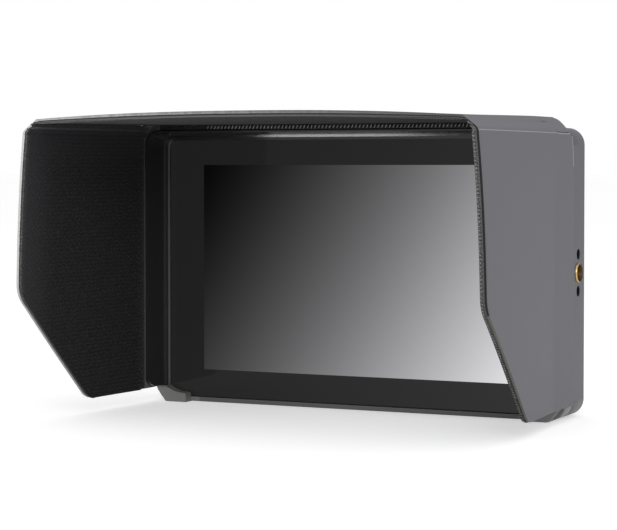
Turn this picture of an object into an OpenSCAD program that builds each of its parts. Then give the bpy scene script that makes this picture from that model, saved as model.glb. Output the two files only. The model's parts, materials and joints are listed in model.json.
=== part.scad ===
// Field monitor with a folding sun hood, built from separate pieces.
// X runs to the viewer's right, Y away from the viewer and Z up, in millimetres.
// The origin is the middle of the thread in the underside, where it opens.

/* [Screen] */
// Width of the lit picture
screen_w = 150.8; // [135:0.2:165]
// Height of the lit picture
screen_h = 94.2; // [84:0.2:105]
// Black border left and right of the picture
side_border = 17.7; // [15:0.1:22]
// Black border above the picture
top_border = 11.6; // [10:0.1:16]
// Black border below the picture
bottom_border = 12.7; // [11:0.1:16]
// Thickness of the cover glass
glass_t = 1.6; // [1:0.1:2]
// Corner radius of the cover glass
glass_r = 4; // [2:0.5:6]
// Thickness of the adhesive tape under the glass
tape_t = 0.3; // [0.2:0.05:0.5]
// Thickness of the display panel
lcd_t = 1.8; // [1.4:0.1:2.4]
// Depth of the backlight tray
backlight_t = 3.6; // [3:0.1:4.5]
// Frame around the lit picture, inside the display module
module_edge = 4; // [3:0.5:5]
// Sheet thickness of the backlight tray
tray_t = 0.6; // [0.4:0.1:0.8]

/* [Housing] */
// Metal edge left and right of the glass
side_edge = 5.9; // [5:0.1:8]
// Metal edge above the glass
top_edge = 4.5; // [4:0.1:7]
// Metal edge below the glass
bottom_edge = 2.3; // [2:0.1:4]
// Depth from the glass face to the back
body_d = 25.9; // [24.6:0.1:34]
// Depth of the front half, from the glass face to the parting line
front_d = 9; // [8:0.1:10]
// Thickness of the housing walls
wall = 2.2; // [1.8:0.1:2.6]
// Corner radius of the housing seen from the front
corner_r = 7.5; // [6:0.5:10]
// Bevel round the back
back_bevel = 0.75; // [0.5:0.25:3]
// Thickness of the ledge that carries the glass
ledge_t = 2; // [1.5:0.1:2.5]
// How far the raised rim stands in front of the glass
rim_d = 5; // [4:0.1:6]
// Thickness of the raised rim
rim_t = 2; // [1.6:0.1:2.6]
// Length of each front foot, from the side of the housing
foot_w = 16.6; // [14:0.2:24]
// Height of the curved outer side of each front foot
foot_r = 12.7; // [8:0.1:14]
// Height of the top of each front foot above the underside
foot_top = 4.2; // [3.5:0.1:6]
// How far the feet stand below the underside
foot_h = 0.2; // [0.2:0.1:2]

/* [Fastening] */
// Distance from the glass face back to the side and bottom threads
thread_back = 17; // [16.5:0.1:17.5]
// Radius of the threaded bore in each insert
thread_r = 2.6; // [2.4:0.05:3.2]
// Outer radius of each insert
insert_r = 4.35; // [3.9:0.05:4.8]
// Length of each insert
insert_l = 8; // [6:0.5:9]
// Spacing of the two locating holes beside a side thread
pin_pitch = 15.9; // [14.5:0.1:19]
// Radius of the locating holes
pin_r = 2.4; // [1.5:0.1:2.6]
// Depth of the locating holes
pin_deep = 5.5; // [4:0.5:7]
// Radius of the case screws
screw_r = 1.25; // [1:0.05:1.5]
// Radius of the case screw heads
head_r = 2.3; // [2:0.05:2.6]
// Height of the case screw heads
head_h = 1.4; // [1:0.1:1.6]

/* [Electronics] */
// Thickness of the chassis plate
chassis_t = 1.2; // [1:0.1:1.5]
// Length of the standoffs between chassis plate and main board
standoff_l = 4.3; // [3.8:0.1:4.6]
// Thickness of the circuit boards
pcb_t = 1.6; // [1.2:0.1:1.8]
// Width and length of the processor
chip_w = 17; // [12:1:23]
// Height of the processor
chip_h = 1.5; // [1:0.1:2]
// Thickness of the thermal pad
pad_t = 1; // [0.5:0.1:1.5]
// Width of the heat sink
sink_w = 52; // [36:1:60]
// Number of fins on the heat sink
fin_count = 9; // [5:1:12]

/* [Buttons] */
// Radius of a top button
button_r = 3; // [2.4:0.1:3.4]
// How far a top button stands out
button_out = 0.8; // [0.5:0.1:1.2]
// Travel of a top button
button_travel = 0.4; // [0.2:0.05:0.5]
// Spacing of the top buttons
button_pitch = 11; // [9.5:0.5:13]
// Distance of the middle button from the right side of the housing
button_in = 38; // [34:1:50]

/* [Battery plate] */
// Width of the battery channel
channel_w = 38.8; // [38:0.1:40]
// Length of the battery plate
battery_l = 74; // [66:1:80]
// Thickness of the base of the battery plate
battery_t = 4; // [3.6:0.1:5]
// Height of the rails above that base
rail_h = 2.6; // [2.2:0.1:3.5]
// Travel of the battery latch
latch_travel = 1.5; // [1:0.1:1.8]

/* [Hood] */
// Reach of the hood in front of the glass
hood_d = 110.5; // [80:0.5:125]
// Depth of the hood frame in front of the glass
frame_d = 14; // [12:0.1:18]
// Thickness of the outer cover of a panel
cover_t = 0.5; // [0.4:0.1:0.8]
// Thickness of the stiffener board of a panel
board_t = 1.3; // [1:0.1:2]
// Thickness of the velour lining of a panel
lining_t = 0.5; // [0.4:0.1:0.8]
// Thickness of the fixed bands that lie over the housing
band_t = 1.15; // [0.9:0.05:1.4]
// How far the side bands reach back past the glass face
band_back = 7; // [5:0.5:12]
// How far the sloped strips reach back past the glass face
strip_back = 0.6; // [0:0.2:3]
// How far the hood stands above the top of the housing
top_rise = 4.1; // [3.6:0.1:6]
// Width of the sloped strip between side and top, seen from the front
slope_w = 5.5; // [4.8:0.1:7]
// How far the crease of the sides lies below the top of the housing
crease_drop = 2.1; // [1.5:0.1:3]
// Height of the lower edge of the sides above the underside
hood_low = 6.2; // [5.4:0.1:12]
// Height where the front edge of a side starts to slant back
knee_z = 54.7; // [40:0.5:80]
// Reach of the lower edge of a side in front of the glass
low_reach = 59; // [40:0.5:75]
// Radius of the two corners of a side
flap_r = 11; // [4:0.5:16]
// Outward lean of the side flaps at rest
splay = 0.6; // [0:0.1:0.8]
// Distance of the side hinges in front of the hood frame
hinge_ahead = 4; // [3.8:0.1:6]
// Distance of the top hinge in front of the side hinges
top_ahead = 6; // [3.6:0.1:9]

/* [Fit] */
// Gap round the glass
glass_gap = 0.3; // [0.1:0.05:0.4]
// Gap between the hood and the housing
hood_gap = 0.15; // [0.1:0.05:0.3]
// Gap between panels that fold past each other
fold_gap = 0.3; // [0.2:0.05:0.4]
// Gap round an insert, a screw or a socket in its hole
hole_gap = 0.02; // [0.01:0.01:0.04]
// Gap round a button or a latch in its opening
slide_gap = 0.2; // [0.1:0.05:0.3]

/* [Hidden] */
$fn = 64;

metal = "#6f6e73";
black = "#1b1b1d";
pcb_green = "#1f5a3a";
steel = "#b9bbbf";

glass_w = screen_w + 2 * side_border;
glass_h = screen_h + top_border + bottom_border;
body_w = glass_w + 2 * side_edge;
body_h = glass_h + top_edge + bottom_edge;
half_w = body_w / 2;
screen_z = bottom_edge + bottom_border + screen_h / 2;
module_w = screen_w + 2 * module_edge;
module_h = screen_h + 2 * module_edge;
module_z = screen_z - module_h / 2;

glass_y = -thread_back;
split_y = glass_y + front_d;
back_y = glass_y + body_d;
inside_y = back_y - wall;
lcd_y = glass_y + glass_t;
ledge_y = lcd_y + tape_t;
tray_y = lcd_y + lcd_t;
chassis_y = tray_y + backlight_t + 0.1;
standoff_y = chassis_y + chassis_t;
board_y = standoff_y + standoff_l;
parts_y = board_y + pcb_t;

// Case screws: one row along the top, one along the bottom
screw_in = wall + 5;
screw_x = [half_w - screw_in, 0.3 * half_w];
screw_z = [screw_in - 0.2, body_h - screw_in];
post_r = 3;
post_z = [screen_z - 33, screen_z + 33];
post_x = module_w / 2 + post_r + 1;
stand_x = module_w / 2 - 4;
stand_z = [module_z + 9, module_z + module_h - 9];

// Rubber pads under the back
pad_r = 5;
pad_deep = 0.6;
pad_x = half_w - foot_w + 0.6 * pad_r;
pad_y = back_y - back_bevel - pad_r - 1;

// Boards
board_x0 = -half_w + wall + 1.2;
board_x1 = module_w / 2;
board_z0 = module_z + 3;
board_z1 = module_z + module_h - 2;
boss_deep = insert_l + 1.6;
boss_half = pin_pitch / 2 + pin_r + 3.5;
boss_y = insert_r + 2.6;
side_z = body_h / 2;
notch_half = boss_half + 1;
board_w = board_x1 - board_x0;
board_h = board_z1 - board_z0;
chip = [board_x0 + 0.66 * board_w, board_z0 + 0.63 * board_h];
memory_w = 0.051 * board_w;
memory_z = [board_z0 + 0.25 * board_h, board_z0 + 0.343 * board_h];
coil_w = 0.034 * board_w;
coil_z = [board_z0 + 0.76 * board_h, board_z0 + 0.86 * board_h];
ribbon_w = 30;
chip_y = parts_y + chip_h;
sink_y = chip_y + pad_t;

// Sockets stand on the main board behind the left side wall
socket_x = -half_w + 0.6;
hdmi_size = [12, 6, 15];
hdmi_z = [side_z + notch_half + 8.2, side_z + notch_half + 24.6];
usb_size = [8, 3.2, 9];
usb_z = side_z - notch_half - 6;
dc_size = [13, 7, 9];
dc_z = usb_z - 10.5;
jack_size = [14, 6, 6];
jack_z = dc_z - 11;
jack_r = 1.8;

// Top buttons
button_y = 1.5;
button_x = half_w - button_in;
flange_t = 1.3;
flange_z = body_h - wall - flange_t - 0.2;
key_z = flange_z - 4.2;
key_t = 1.2;
plunger_z = flange_z - button_travel - 0.1;

// Battery plate
rail_t = 2.6;
lug_t = 1.3;
lug_in = 1.5;
plate_w = channel_w + 2 * rail_t;
plate_z = body_h / 2 - battery_l / 2;
plate_y = back_y + battery_t;
latch_w = 12;
latch_l = 6;
latch_z = plate_z + battery_l - 13;
latch_out = 1.6;

// Hood
skin_x = half_w + hood_gap + band_t;
panel_t = cover_t + board_t + lining_t;
frame_x = half_w - 0.1;
frame_z = body_h - 0.1;
frame_r = corner_r - 0.1;
frame_y = glass_y - frame_d;
rim_y = glass_y - rim_d - hood_gap;
band_y = glass_y + band_back;
strip_y = glass_y + strip_back;
plug_in = rim_t + hood_gap - 0.1;
leg_z = hood_low + 1;
leg_r = 6;
pin_in = 0.7;
bead_r = pin_in - 0.1;
hinge_x = skin_x - pin_in;
hinge_y = frame_y - hinge_ahead;
flap_y = hinge_y - 1;
hood_y = glass_y - hood_d;
top_z = body_h + top_rise;
crease_z = body_h - crease_drop;
slope = atan((top_z - crease_z) / slope_w);
slope_l = norm([slope_w, top_z - crease_z]);
top_hinge_y = hinge_y - top_ahead;
top_hinge_z = top_z - pin_in;
top_y = top_hinge_y - 1;
tab_t = 1.2;
tab_hinge = 0.5;
tab_w = ((top_z - panel_t - crease_z) / tan(slope) - fold_gap - tab_t * sin(slope)) / cos(slope);
flap_z = crease_z - tab_t * cos(slope) - 0.25;
// How far the inner edge of a tab swings behind the side hinge as its flap folds in
tab_swing = norm([tab_w * cos(slope) + tab_t * sin(slope) - pin_in, hinge_y - flap_y]);

// Plan and section shapes

module rounded(w, h, r) {
  translate([-w / 2 + r, 0]) square([w - 2 * r, h]);
  translate([-w / 2, r]) square([w, h - 2 * r]);
  for (x = [-w / 2 + r, w / 2 - r], z = [r, h - r]) translate([x, z]) circle(r);
}

module upright(y0, y1) {
  translate([0, y1, 0]) rotate([90, 0, 0]) linear_extrude(y1 - y0) children();
}

module slab(w, h, r, y0, y1, z0 = 0) {
  upright(y0, y1) translate([0, z0]) rounded(w, h, r);
}

module block(x, y, z) {
  translate([x[0], y[0], z[0]]) cube([x[1] - x[0], y[1] - y[0], z[1] - z[0]]);
}

module rod(r, y0, y1, x = 0, z = 0) {
  translate([x, y1, z]) rotate([90, 0, 0]) cylinder(r = r, h = y1 - y0);
}

module both_sides() {
  children();
  mirror([1, 0, 0]) children();
}

module at_case_screws() {
  for (x = screw_x, z = screw_z, side = [-1, 1]) translate([side * x, 0, z]) children();
}

module at_posts() {
  for (side = [-1, 1], z = post_z) translate([side * post_x, 0, z]) children();
}

module at_standoffs() {
  for (side = [-1, 1], z = stand_z) translate([side * stand_x, 0, z]) children();
}

// A point on the slope: s along it from the crease, q in from its face
function on_slope(s, q) = [
  skin_x - s * cos(slope) - q * sin(slope),
  crease_z + s * sin(slope) - q * cos(slope)
];

// Monitor housing

// Outer side of a front foot as shares of foot_r: inward from the side, up from the bottom
foot_side = [
  [-0.1, -0.1], [-0.1, 0.92], [0, 0.92], [0.024, 0.75], [0.087, 0.567], [0.142, 0.425],
  [0.29, 0.22], [0.41, 0.08], [0.465, 0], [0.465, -0.1]
];

module rim_outline() {
  translate([0, -foot_h]) difference() {
    rounded(body_w, body_h + foot_h, corner_r);
    for (side = [-1, 1]) polygon([
      for (p = foot_side) [side * (half_w - foot_r * p[0]), foot_r * p[1]]
    ]);
  }
}

// Opening over the feet: flat below the hood frame, then curved down to the inner end of the foot
module foot_opening() {
  end = half_w - foot_w;
  r = 1.1 * foot_r;
  high = leg_z - 0.2;
  turn = acos(1 - (high - foot_top) / r);
  right = [
    [end, foot_top - 1.1], [end + 0.35, foot_top - 0.35],
    for (i = [0:5]) [end + 2.1 + r * sin(turn * i / 5), foot_top + r * (1 - cos(turn * i / 5))],
    [half_w - rim_t, high], [half_w - rim_t, foot_top + foot_r]
  ];
  polygon(concat(right, [for (i = [len(right) - 1:-1:0]) [-right[i][0], right[i][1]]]));
}

module front_rim() {
  inner_w = body_w - 2 * rim_t;
  upright(glass_y - rim_d, glass_y + 0.5) difference() {
    rim_outline();
    translate([0, leg_z]) rounded(inner_w, body_h - leg_z - rim_t, corner_r - rim_t);
    foot_opening();
    translate([-half_w + foot_w, -foot_h - 1]) square([body_w - 2 * foot_w, foot_top + 2 * foot_h + 1]);
  }
}

module front_frame() {
  color(metal) difference() {
    union() {
      slab(body_w, body_h, corner_r, glass_y, split_y);
      front_rim();
      both_sides() block([half_w - foot_w, half_w - corner_r], [glass_y - rim_d, split_y], [-foot_h, 1]);
    }
    slab(glass_w + 2 * glass_gap, glass_h + 2 * glass_gap, glass_r, glass_y, ledge_y, bottom_edge - glass_gap);
    slab(module_w + 2 * glass_gap, module_h + 2 * glass_gap, 1, glass_y, split_y, module_z - glass_gap);
    difference() {
      slab(body_w - 2 * wall, body_h - 2 * wall, corner_r - wall, ledge_y + ledge_t, split_y + 1, wall);
      at_case_screws() rod(post_r, ledge_y, split_y);
      at_posts() rod(post_r, ledge_y, chassis_y);
    }
    at_case_screws() rod(screw_r + hole_gap, ledge_y + 1, split_y + 1);
    at_posts() rod(screw_r + hole_gap, ledge_y + 1, split_y);
  }
}

module side_boss() {
  deep = half_w - boss_deep;
  block([deep, half_w - wall / 2], [-boss_y, inside_y + 0.5], [side_z - boss_half, side_z + boss_half]);
}

module side_holes() {
  translate([half_w + 1, 0, side_z]) rotate([0, -90, 0]) cylinder(r = insert_r, h = insert_l + 1);
  for (side = [-1, 1]) translate([half_w + 1, 0, side_z + side * pin_pitch / 2])
    rotate([0, -90, 0]) cylinder(r = pin_r, h = pin_deep + 1);
}

module socket_hole(size, z) {
  g = slide_gap;
  block([-half_w - 1, socket_x + size[0]], [parts_y - g, parts_y + size[1] + g],
    [z - size[2] / 2 - g, z + size[2] / 2 + g]);
}

module vent_rows() {
  for (side = [-1, 1], i = [0:7]) block(
    [side * half_w * 0.62 - 14, side * half_w * 0.62 + 14], [inside_y - 1, back_y + 1],
    [side_z - 21 + 6 * i - 1, side_z - 21 + 6 * i + 1]);
}

module rear_shell() {
  color(metal) difference() {
    union() {
      difference() {
        union() {
          slab(body_w, body_h, corner_r, split_y, back_y - back_bevel);
          hull() {
            slab(body_w, body_h, corner_r, back_y - back_bevel - 0.1, back_y - back_bevel, $fn = 32);
            slab(body_w - 2 * back_bevel, body_h - 2 * back_bevel, corner_r - back_bevel,
              back_y - 0.1, back_y, back_bevel, $fn = 32);
          }
        }
        slab(body_w - 2 * wall, body_h - 2 * wall, corner_r - wall, split_y - 1, inside_y, wall);
      }
      both_sides() side_boss();
      block([-boss_y - 2, boss_y + 2], [-boss_y, inside_y + 0.5], [wall / 2, boss_deep]);
      at_case_screws() rod(post_r, split_y, inside_y + 0.5);
      for (x = [-1.8, 1.8] * button_pitch)
        block([button_x + x - 2, button_x + x + 2], [-3, inside_y + 0.5], [key_z + key_t, body_h - wall / 2]);
    }
    both_sides() side_holes();
    translate([0, 0, -1]) cylinder(r = insert_r, h = insert_l + 1);
    at_case_screws() {
      rod(screw_r + slide_gap, split_y - 1, back_y);
      rod(head_r + slide_gap, back_y - head_h, back_y + 1);
    }
    for (z = hdmi_z) socket_hole(hdmi_size, z);
    socket_hole(usb_size, usb_z);
    socket_hole(dc_size, dc_z);
    socket_hole(jack_size, jack_z);
    vent_rows();
    for (i = [-1:1]) translate([button_x + i * button_pitch, button_y, body_h - wall - 1])
      cylinder(r = button_r + slide_gap, h = wall + 2);
    both_sides() translate([pad_x, pad_y, -1]) cylinder(r = pad_r, h = 1 + pad_deep);
    at_plate_screws() rod(1 + hole_gap, inside_y - 1, back_y + 1);
  }
}

module thread_inserts() {
  color("#b58a3c") {
    both_sides() translate([half_w, 0, side_z]) rotate([0, -90, 0]) insert();
    insert();
  }
}

module insert() {
  difference() {
    cylinder(r = insert_r - hole_gap, h = insert_l);
    translate([0, 0, -1]) cylinder(r = thread_r, h = insert_l + 2);
  }
}

module case_screws() {
  color("#333336") at_case_screws() difference() {
    union() {
      rod(head_r, back_y - head_h, back_y - 0.1);
      rod(screw_r, ledge_y + 2, back_y - head_h + 0.5);
    }
    translate([0, back_y + 0.1, 0]) rotate([90, 0, 0]) cylinder(r = head_r * 0.5, h = 0.9, $fn = 6);
  }
}

module rear_pads() {
  color(black) both_sides() translate([pad_x, pad_y, -foot_h])
    cylinder(r = pad_r - hole_gap, h = foot_h + pad_deep);
}

// Display

module cover_glass() {
  color("#202022") slab(glass_w, glass_h, glass_r - glass_gap, glass_y, lcd_y, bottom_edge);
}

module glass_tape() {
  color("#303033") difference() {
    slab(glass_w - 2, glass_h - 2, 2, lcd_y, ledge_y, bottom_edge + 1);
    slab(module_w + 1, module_h + 1, 1, lcd_y - 1, ledge_y + 1, module_z - 0.5);
  }
}

module lcd_panel() {
  color("#3a3d44") slab(module_w - 1, module_h - 1, 0.5, lcd_y, tray_y, module_z + 0.5);
}

module light_guide() {
  color("#e8eef0") slab(screen_w + 2, screen_h + 2, 0.5, tray_y, tray_y + 2.2, screen_z - screen_h / 2 - 1);
}

module led_bar() {
  z0 = module_z + tray_t;
  color("#f2e9c8") {
    block([-screen_w / 2, screen_w / 2], [tray_y + 0.4, tray_y + 2.2], [z0, z0 + 0.8]);
    for (i = [-9:9]) block([i * screen_w / 20 - 1.5, i * screen_w / 20 + 1.5],
      [tray_y + 0.6, tray_y + 2], [z0 + 0.8, screen_z - screen_h / 2 - 1.2]);
  }
}

module backlight_tray() {
  color(steel) difference() {
    slab(module_w, module_h, 1, tray_y, tray_y + backlight_t, module_z);
    slab(module_w - 2 * tray_t, module_h - 2 * tray_t, 0.6, tray_y - 1,
      tray_y + 2.3, module_z + tray_t);
  }
}

// Electronics

module chassis_plate() {
  color(steel) difference() {
    slab(2 * post_x + 7, module_h, 4, chassis_y, standoff_y, module_z);
    at_posts() rod(screw_r + hole_gap, chassis_y - 1, standoff_y + 1);
    at_standoffs() rod(screw_r + hole_gap, chassis_y - 1, standoff_y + 1);
    for (x = [-1, 0, 1] * screen_w / 4) slab(18, 30, 4, chassis_y - 1, standoff_y + 1, screen_z - 15);
  }
}

module pan_screw(y, l) {
  rod(head_r, y, y + 1.2);
  rod(screw_r, y - l, y + 0.5);
}

module chassis_screws() {
  color("#8d8f94") at_posts() pan_screw(standoff_y, standoff_y - ledge_y - 1.2);
}

module board_standoffs() {
  color("#b58a3c") at_standoffs() difference() {
    union() {
      rod(2.4, standoff_y, board_y, $fn = 6);
      rod(screw_r, chassis_y, standoff_y + 0.1);
    }
    rod(screw_r + hole_gap, standoff_y + 1, board_y + 1);
  }
}

module board_screws() {
  color("#8d8f94") at_standoffs() pan_screw(parts_y, pcb_t + standoff_l - 1.4);
}

module main_board() {
  color(pcb_green) difference() {
    union() {
      block([board_x0, board_x1], [board_y, parts_y], [board_z0, board_z1]);
      for (i = [0:3]) translate([chip[0] + (1.45 * i - 8) * memory_w, 0, 0])
        block([0, memory_w], [parts_y - 0.1, parts_y + 2], memory_z);
      for (i = [0:5]) translate([chip[0] + (1.5 * i - 11) * coil_w, 0, 0])
        block([0, coil_w], [parts_y - 0.1, parts_y + 1], coil_z);
      block([-0.73, 0.73] * ribbon_w, [parts_y - 0.1, parts_y + 2.6], [board_z0 + 2, board_z0 + 8]);
      block([chip[0] - chip_w / 2, chip[0] + chip_w / 2], [parts_y - 0.1, chip_y],
        [chip[1] - chip_w / 2, chip[1] + chip_w / 2]);
    }
    block([board_x0 - 1, -half_w + boss_deep + 1], [board_y - 1, parts_y + 1],
      [side_z - notch_half, side_z + notch_half]);
    at_standoffs() rod(screw_r + hole_gap, board_y - 1, parts_y + 1);
  }
}

module display_ribbon() {
  z = module_z - 0.6;
  color("#a8742c") {
    block([-0.5, 0.5] * ribbon_w, [chassis_y - 2.5, board_y - 0.2], [z, z + 0.3]);
    block([-0.5, 0.5] * ribbon_w, [board_y - 0.5, board_y - 0.2], [z, z + 0.4 * ribbon_w]);
  }
}

module thermal_pad() {
  color("#8fb7c9") block([chip[0] - chip_w / 2 + 1, chip[0] + chip_w / 2 - 1], [chip_y, sink_y],
    [chip[1] - chip_w / 2 + 1, chip[1] + chip_w / 2 - 1]);
}

module heat_sink() {
  x0 = chip[0] - sink_w / 2;
  step = (sink_w - 1.6) / (fin_count - 1);
  color(steel) {
    block([x0, x0 + sink_w], [sink_y, sink_y + 2], [chip[1] - 13, chip[1] + 13]);
    for (i = [0:fin_count - 1]) block([x0 + i * step, x0 + i * step + 1.6],
      [sink_y + 1.9, inside_y - 0.1], [chip[1] - 13, chip[1] + 13]);
  }
}

// A socket body on the board, open towards the left
module socket(size, z) {
  block([socket_x, socket_x + size[0]], [parts_y, parts_y + size[1]], [z - size[2] / 2, z + size[2] / 2]);
}

module hdmi_sockets() {
  y = parts_y + hdmi_size[1] / 2;
  color(steel) for (z = hdmi_z) {
    difference() {
      socket(hdmi_size, z);
      block([socket_x - 1, socket_x + 9], [y - 2.4, y + 2.4], [z - 7, z + 7]);
    }
    block([socket_x + 0.8, socket_x + 9.5], [y - 0.6, y + 0.6], [z - 5.5, z + 5.5]);
  }
}

module usb_socket() {
  y = parts_y + usb_size[1] / 2;
  color(steel) difference() {
    socket(usb_size, usb_z);
    block([socket_x - 1, socket_x + 6], [y - 1.2, y + 1.2], [usb_z - 4.1, usb_z + 4.1]);
  }
  color(steel) block([socket_x + 0.6, socket_x + 6.5], [y - 0.3, y + 0.3], [usb_z - 3.3, usb_z + 3.3]);
}

module dc_socket() {
  y = parts_y + dc_size[1] / 2;
  color(black) difference() {
    socket(dc_size, dc_z);
    translate([socket_x - 1, y, dc_z]) rotate([0, 90, 0]) cylinder(r = 2.9, h = 10);
  }
  color(steel) translate([socket_x + 1, y, dc_z]) rotate([0, 90, 0]) cylinder(r = 1, h = 8.5);
}

module headphone_socket() {
  y = parts_y + jack_size[1] / 2;
  color(black) difference() {
    socket(jack_size, jack_z);
    translate([socket_x - 1, y, jack_z]) rotate([0, 90, 0]) cylinder(r = jack_r, h = 13);
  }
}

module key_board() {
  x0 = button_x - 1.8 * button_pitch - 2;
  x1 = button_x + 1.8 * button_pitch + 2;
  color(pcb_green) block([x0, x1], [-4, inside_y - 0.3], [key_z, key_z + key_t]);
  color(steel) for (i = [-1:1]) translate([button_x + i * button_pitch, button_y, key_z + key_t]) {
    translate([-2.2, -2.2, -0.1]) cube([4.4, 4.4, 1.6]);
    cylinder(r = 1.2, h = plunger_z - key_z - key_t);
  }
}

module button(i) {
  color(black) translate([button_x + i * button_pitch, button_y, flange_z]) {
    cylinder(r = button_r + 0.9, h = flange_t);
    cylinder(r = button_r, h = body_h + button_out - flange_z);
  }
}

module power_button() {
  button(1);
}

module menu_button() {
  button(0);
}

module function_button() {
  button(-1);
}

// Battery plate on the back

module at_plate_screws() {
  for (side = [-1, 1], z = [plate_z + 12, plate_z + battery_l - 12])
    translate([side * (channel_w / 2 - 5), 0, z]) children();
}

module battery_plate() {
  top = plate_z + battery_l;
  color(black) difference() {
    union() {
      block([-plate_w / 2, plate_w / 2], [back_y, plate_y], [plate_z, top]);
      both_sides() block([channel_w / 2, plate_w / 2], [plate_y - 0.1, plate_y + rail_h], [plate_z, top]);
      both_sides() for (z = [plate_z + 18, top - 30])
        block([channel_w / 2 - lug_in, channel_w / 2 + 1],
          [plate_y + rail_h - lug_t, plate_y + rail_h], [z, z + 12]);
      block([-plate_w / 2, plate_w / 2], [plate_y - 0.1, plate_y + rail_h], [plate_z, plate_z + 3]);
    }
    block([-latch_w / 2 - slide_gap, latch_w / 2 + slide_gap], [back_y - 1, plate_y + 1],
      [latch_z - slide_gap, latch_z + latch_l + slide_gap]);
    at_plate_screws() {
      rod(1 + hole_gap, back_y - 1, plate_y + 1);
      rod(2 + slide_gap, plate_y - 1.2, plate_y + 1);
    }
    for (i = [-1:1]) block([i * 9 - 1.2, i * 9 + 1.2], [plate_y - 2, plate_y + 1],
      [plate_z + 2.9, plate_z + 13]);
  }
}

module plate_screws() {
  color("#8d8f94") at_plate_screws() {
    rod(2, plate_y - 1.2, plate_y - 0.1);
    rod(1, inside_y + 0.2, plate_y - 1);
  }
}

module battery_contacts() {
  color("#c9a24a") for (i = [-1:1]) block([i * 9 - 0.8, i * 9 + 0.8], [plate_y - 2, plate_y + 1.6],
    [plate_z + 3, plate_z + 12]);
}

module battery_latch() {
  color("#2a2a2c") {
    block([-latch_w / 2, latch_w / 2], [plate_y - battery_t + latch_travel + 0.3, plate_y + latch_out],
      [latch_z, latch_z + latch_l]);
  }
}

// Hood frame: the section is drawn as distance in from the outside against depth

frame_section = [
  [0, rim_y], [0, frame_y + 0.8], [0.7, frame_y], [1.3, frame_y],
  [3.4, glass_y - 1.8], [4.6, glass_y - 1.8], [4.6, glass_y - 0.2],
  [plug_in, glass_y - 0.2], [plug_in, rim_y]
];

module leg() {
  points = [for (p = frame_section) [frame_x - p[0], p[1]]];
  translate([0, 0, leg_z]) linear_extrude(frame_z - frame_r - leg_z) polygon(points);
}

module frame_corner() {
  points = [for (p = frame_section) [frame_r - p[0], p[1]]];
  translate([frame_x - frame_r, 0, frame_z - frame_r]) rotate([90, 0, 0]) mirror([0, 0, 1])
    rotate_extrude(angle = 90) polygon(points);
}

module frame_bar() {
  points = [for (p = frame_section) [p[1], frame_z - p[0]]];
  l = 2 * (frame_x - frame_r);
  translate([-l / 2, 0, 0]) rotate([90, 0, 90]) linear_extrude(l) polygon(points);
}

module hood_frame() {
  wall_x = half_w - corner_r;
  color(black) difference() {
    union() {
      both_sides() leg();
      both_sides() frame_corner();
      frame_bar();
      block([-wall_x, wall_x], [frame_y + 1.2, rim_y - 0.3], [frame_z - 0.5, top_z - band_t]);
    }
    both_sides() translate([half_w - 8, frame_y, leg_z]) difference() {
      translate([0, -1, -1]) cube([12, leg_r + 1, leg_r + 1]);
      translate([-1, leg_r, leg_r]) rotate([0, 90, 0]) cylinder(r = leg_r, h = 14);
    }
  }
}

module frame_lining() {
  wall_x = half_w - corner_r - 1;
  color("#26282c") block([-wall_x, wall_x], [frame_y + 0.5, frame_y + 1.2], [frame_z + 0.3, top_z - band_t]);
}

module side_band() {
  front = hinge_y + pin_in;
  swing = hinge_y + tab_swing + fold_gap;
  difference() {
    translate([0, 0, hood_low]) linear_extrude(crease_z - band_t * cos(slope) - hood_low - 0.1) polygon([
      [skin_x, front], [skin_x, band_y], [skin_x - band_t, band_y], [skin_x - band_t, rim_y],
      [frame_x, rim_y], [frame_x, frame_y + 0.9], [skin_x - band_t, frame_y + 0.2], [skin_x - band_t, front]
    ]);
    translate([skin_x - band_t - 1, 0, crease_z]) rotate([90, 0, 90]) linear_extrude(band_t + 2) polygon([
      [strip_y, 1], [strip_y, -0.9], [strip_y + 1.9, -1.3], [band_y - 3, -1.9], [band_y - 1.9, -4.2],
      [band_y - 1.2, -7.3], [band_y - 0.6, -14], [band_y, -21], [band_y + 1, -21], [band_y + 1, 1]
    ]);
  }
  translate([skin_x, 0, crease_z]) rotate([0, 180 + slope, 0]) linear_extrude(band_t) polygon([
    [0, hinge_y + 1 + 2 * fold_gap], [tab_t, swing], [tab_w + tab_t, swing], [tab_w + tab_t, front],
    [slope_l - 0.4, front], [slope_l - 0.4, rim_y], [slope_l - 0.9, strip_y - 2.6],
    [slope_l - 2, strip_y - 0.9], [slope_l - 3.6, strip_y - 0.2], [0, strip_y]
  ]);
  translate([0, 0, crease_z - 2]) linear_extrude(1.4) polygon([
    [skin_x, swing], [skin_x, strip_y - 1], [skin_x - band_t, strip_y - 1], [skin_x - band_t, swing]
  ]);
}

module left_side_band() {
  color(metal) mirror([1, 0, 0]) side_band();
}

module right_side_band() {
  color(metal) side_band();
}

// Half width of the top at height z, on the line of the slope
function top_half(z) = skin_x - (z - crease_z) / tan(slope);

module top_layer(z0, z1, y0, y1) {
  upright(y0, y1) polygon([
    [-top_half(z0), z0], [-top_half(z1), z1], [top_half(z1), z1], [top_half(z0), z0]
  ]);
}

module top_band() {
  a = on_slope(slope_l - 0.15, 0);
  b = on_slope(slope_l - 0.15, band_t);
  low = top_z - band_t;
  edge = [[b[0] - 0.3, low], b, a, [top_half(top_z), top_z]];
  left = [for (i = [3:-1:0]) [-edge[i][0], edge[i][1]]];
  color(metal) {
    upright(hinge_y + pin_in, rim_y) polygon(concat(edge, left));
    top_layer(low, top_z, top_hinge_y + pin_in, hinge_y + pin_in + 0.01);
  }
}

// Folding panels: the flaps are drawn for the right side and mirrored

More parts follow.
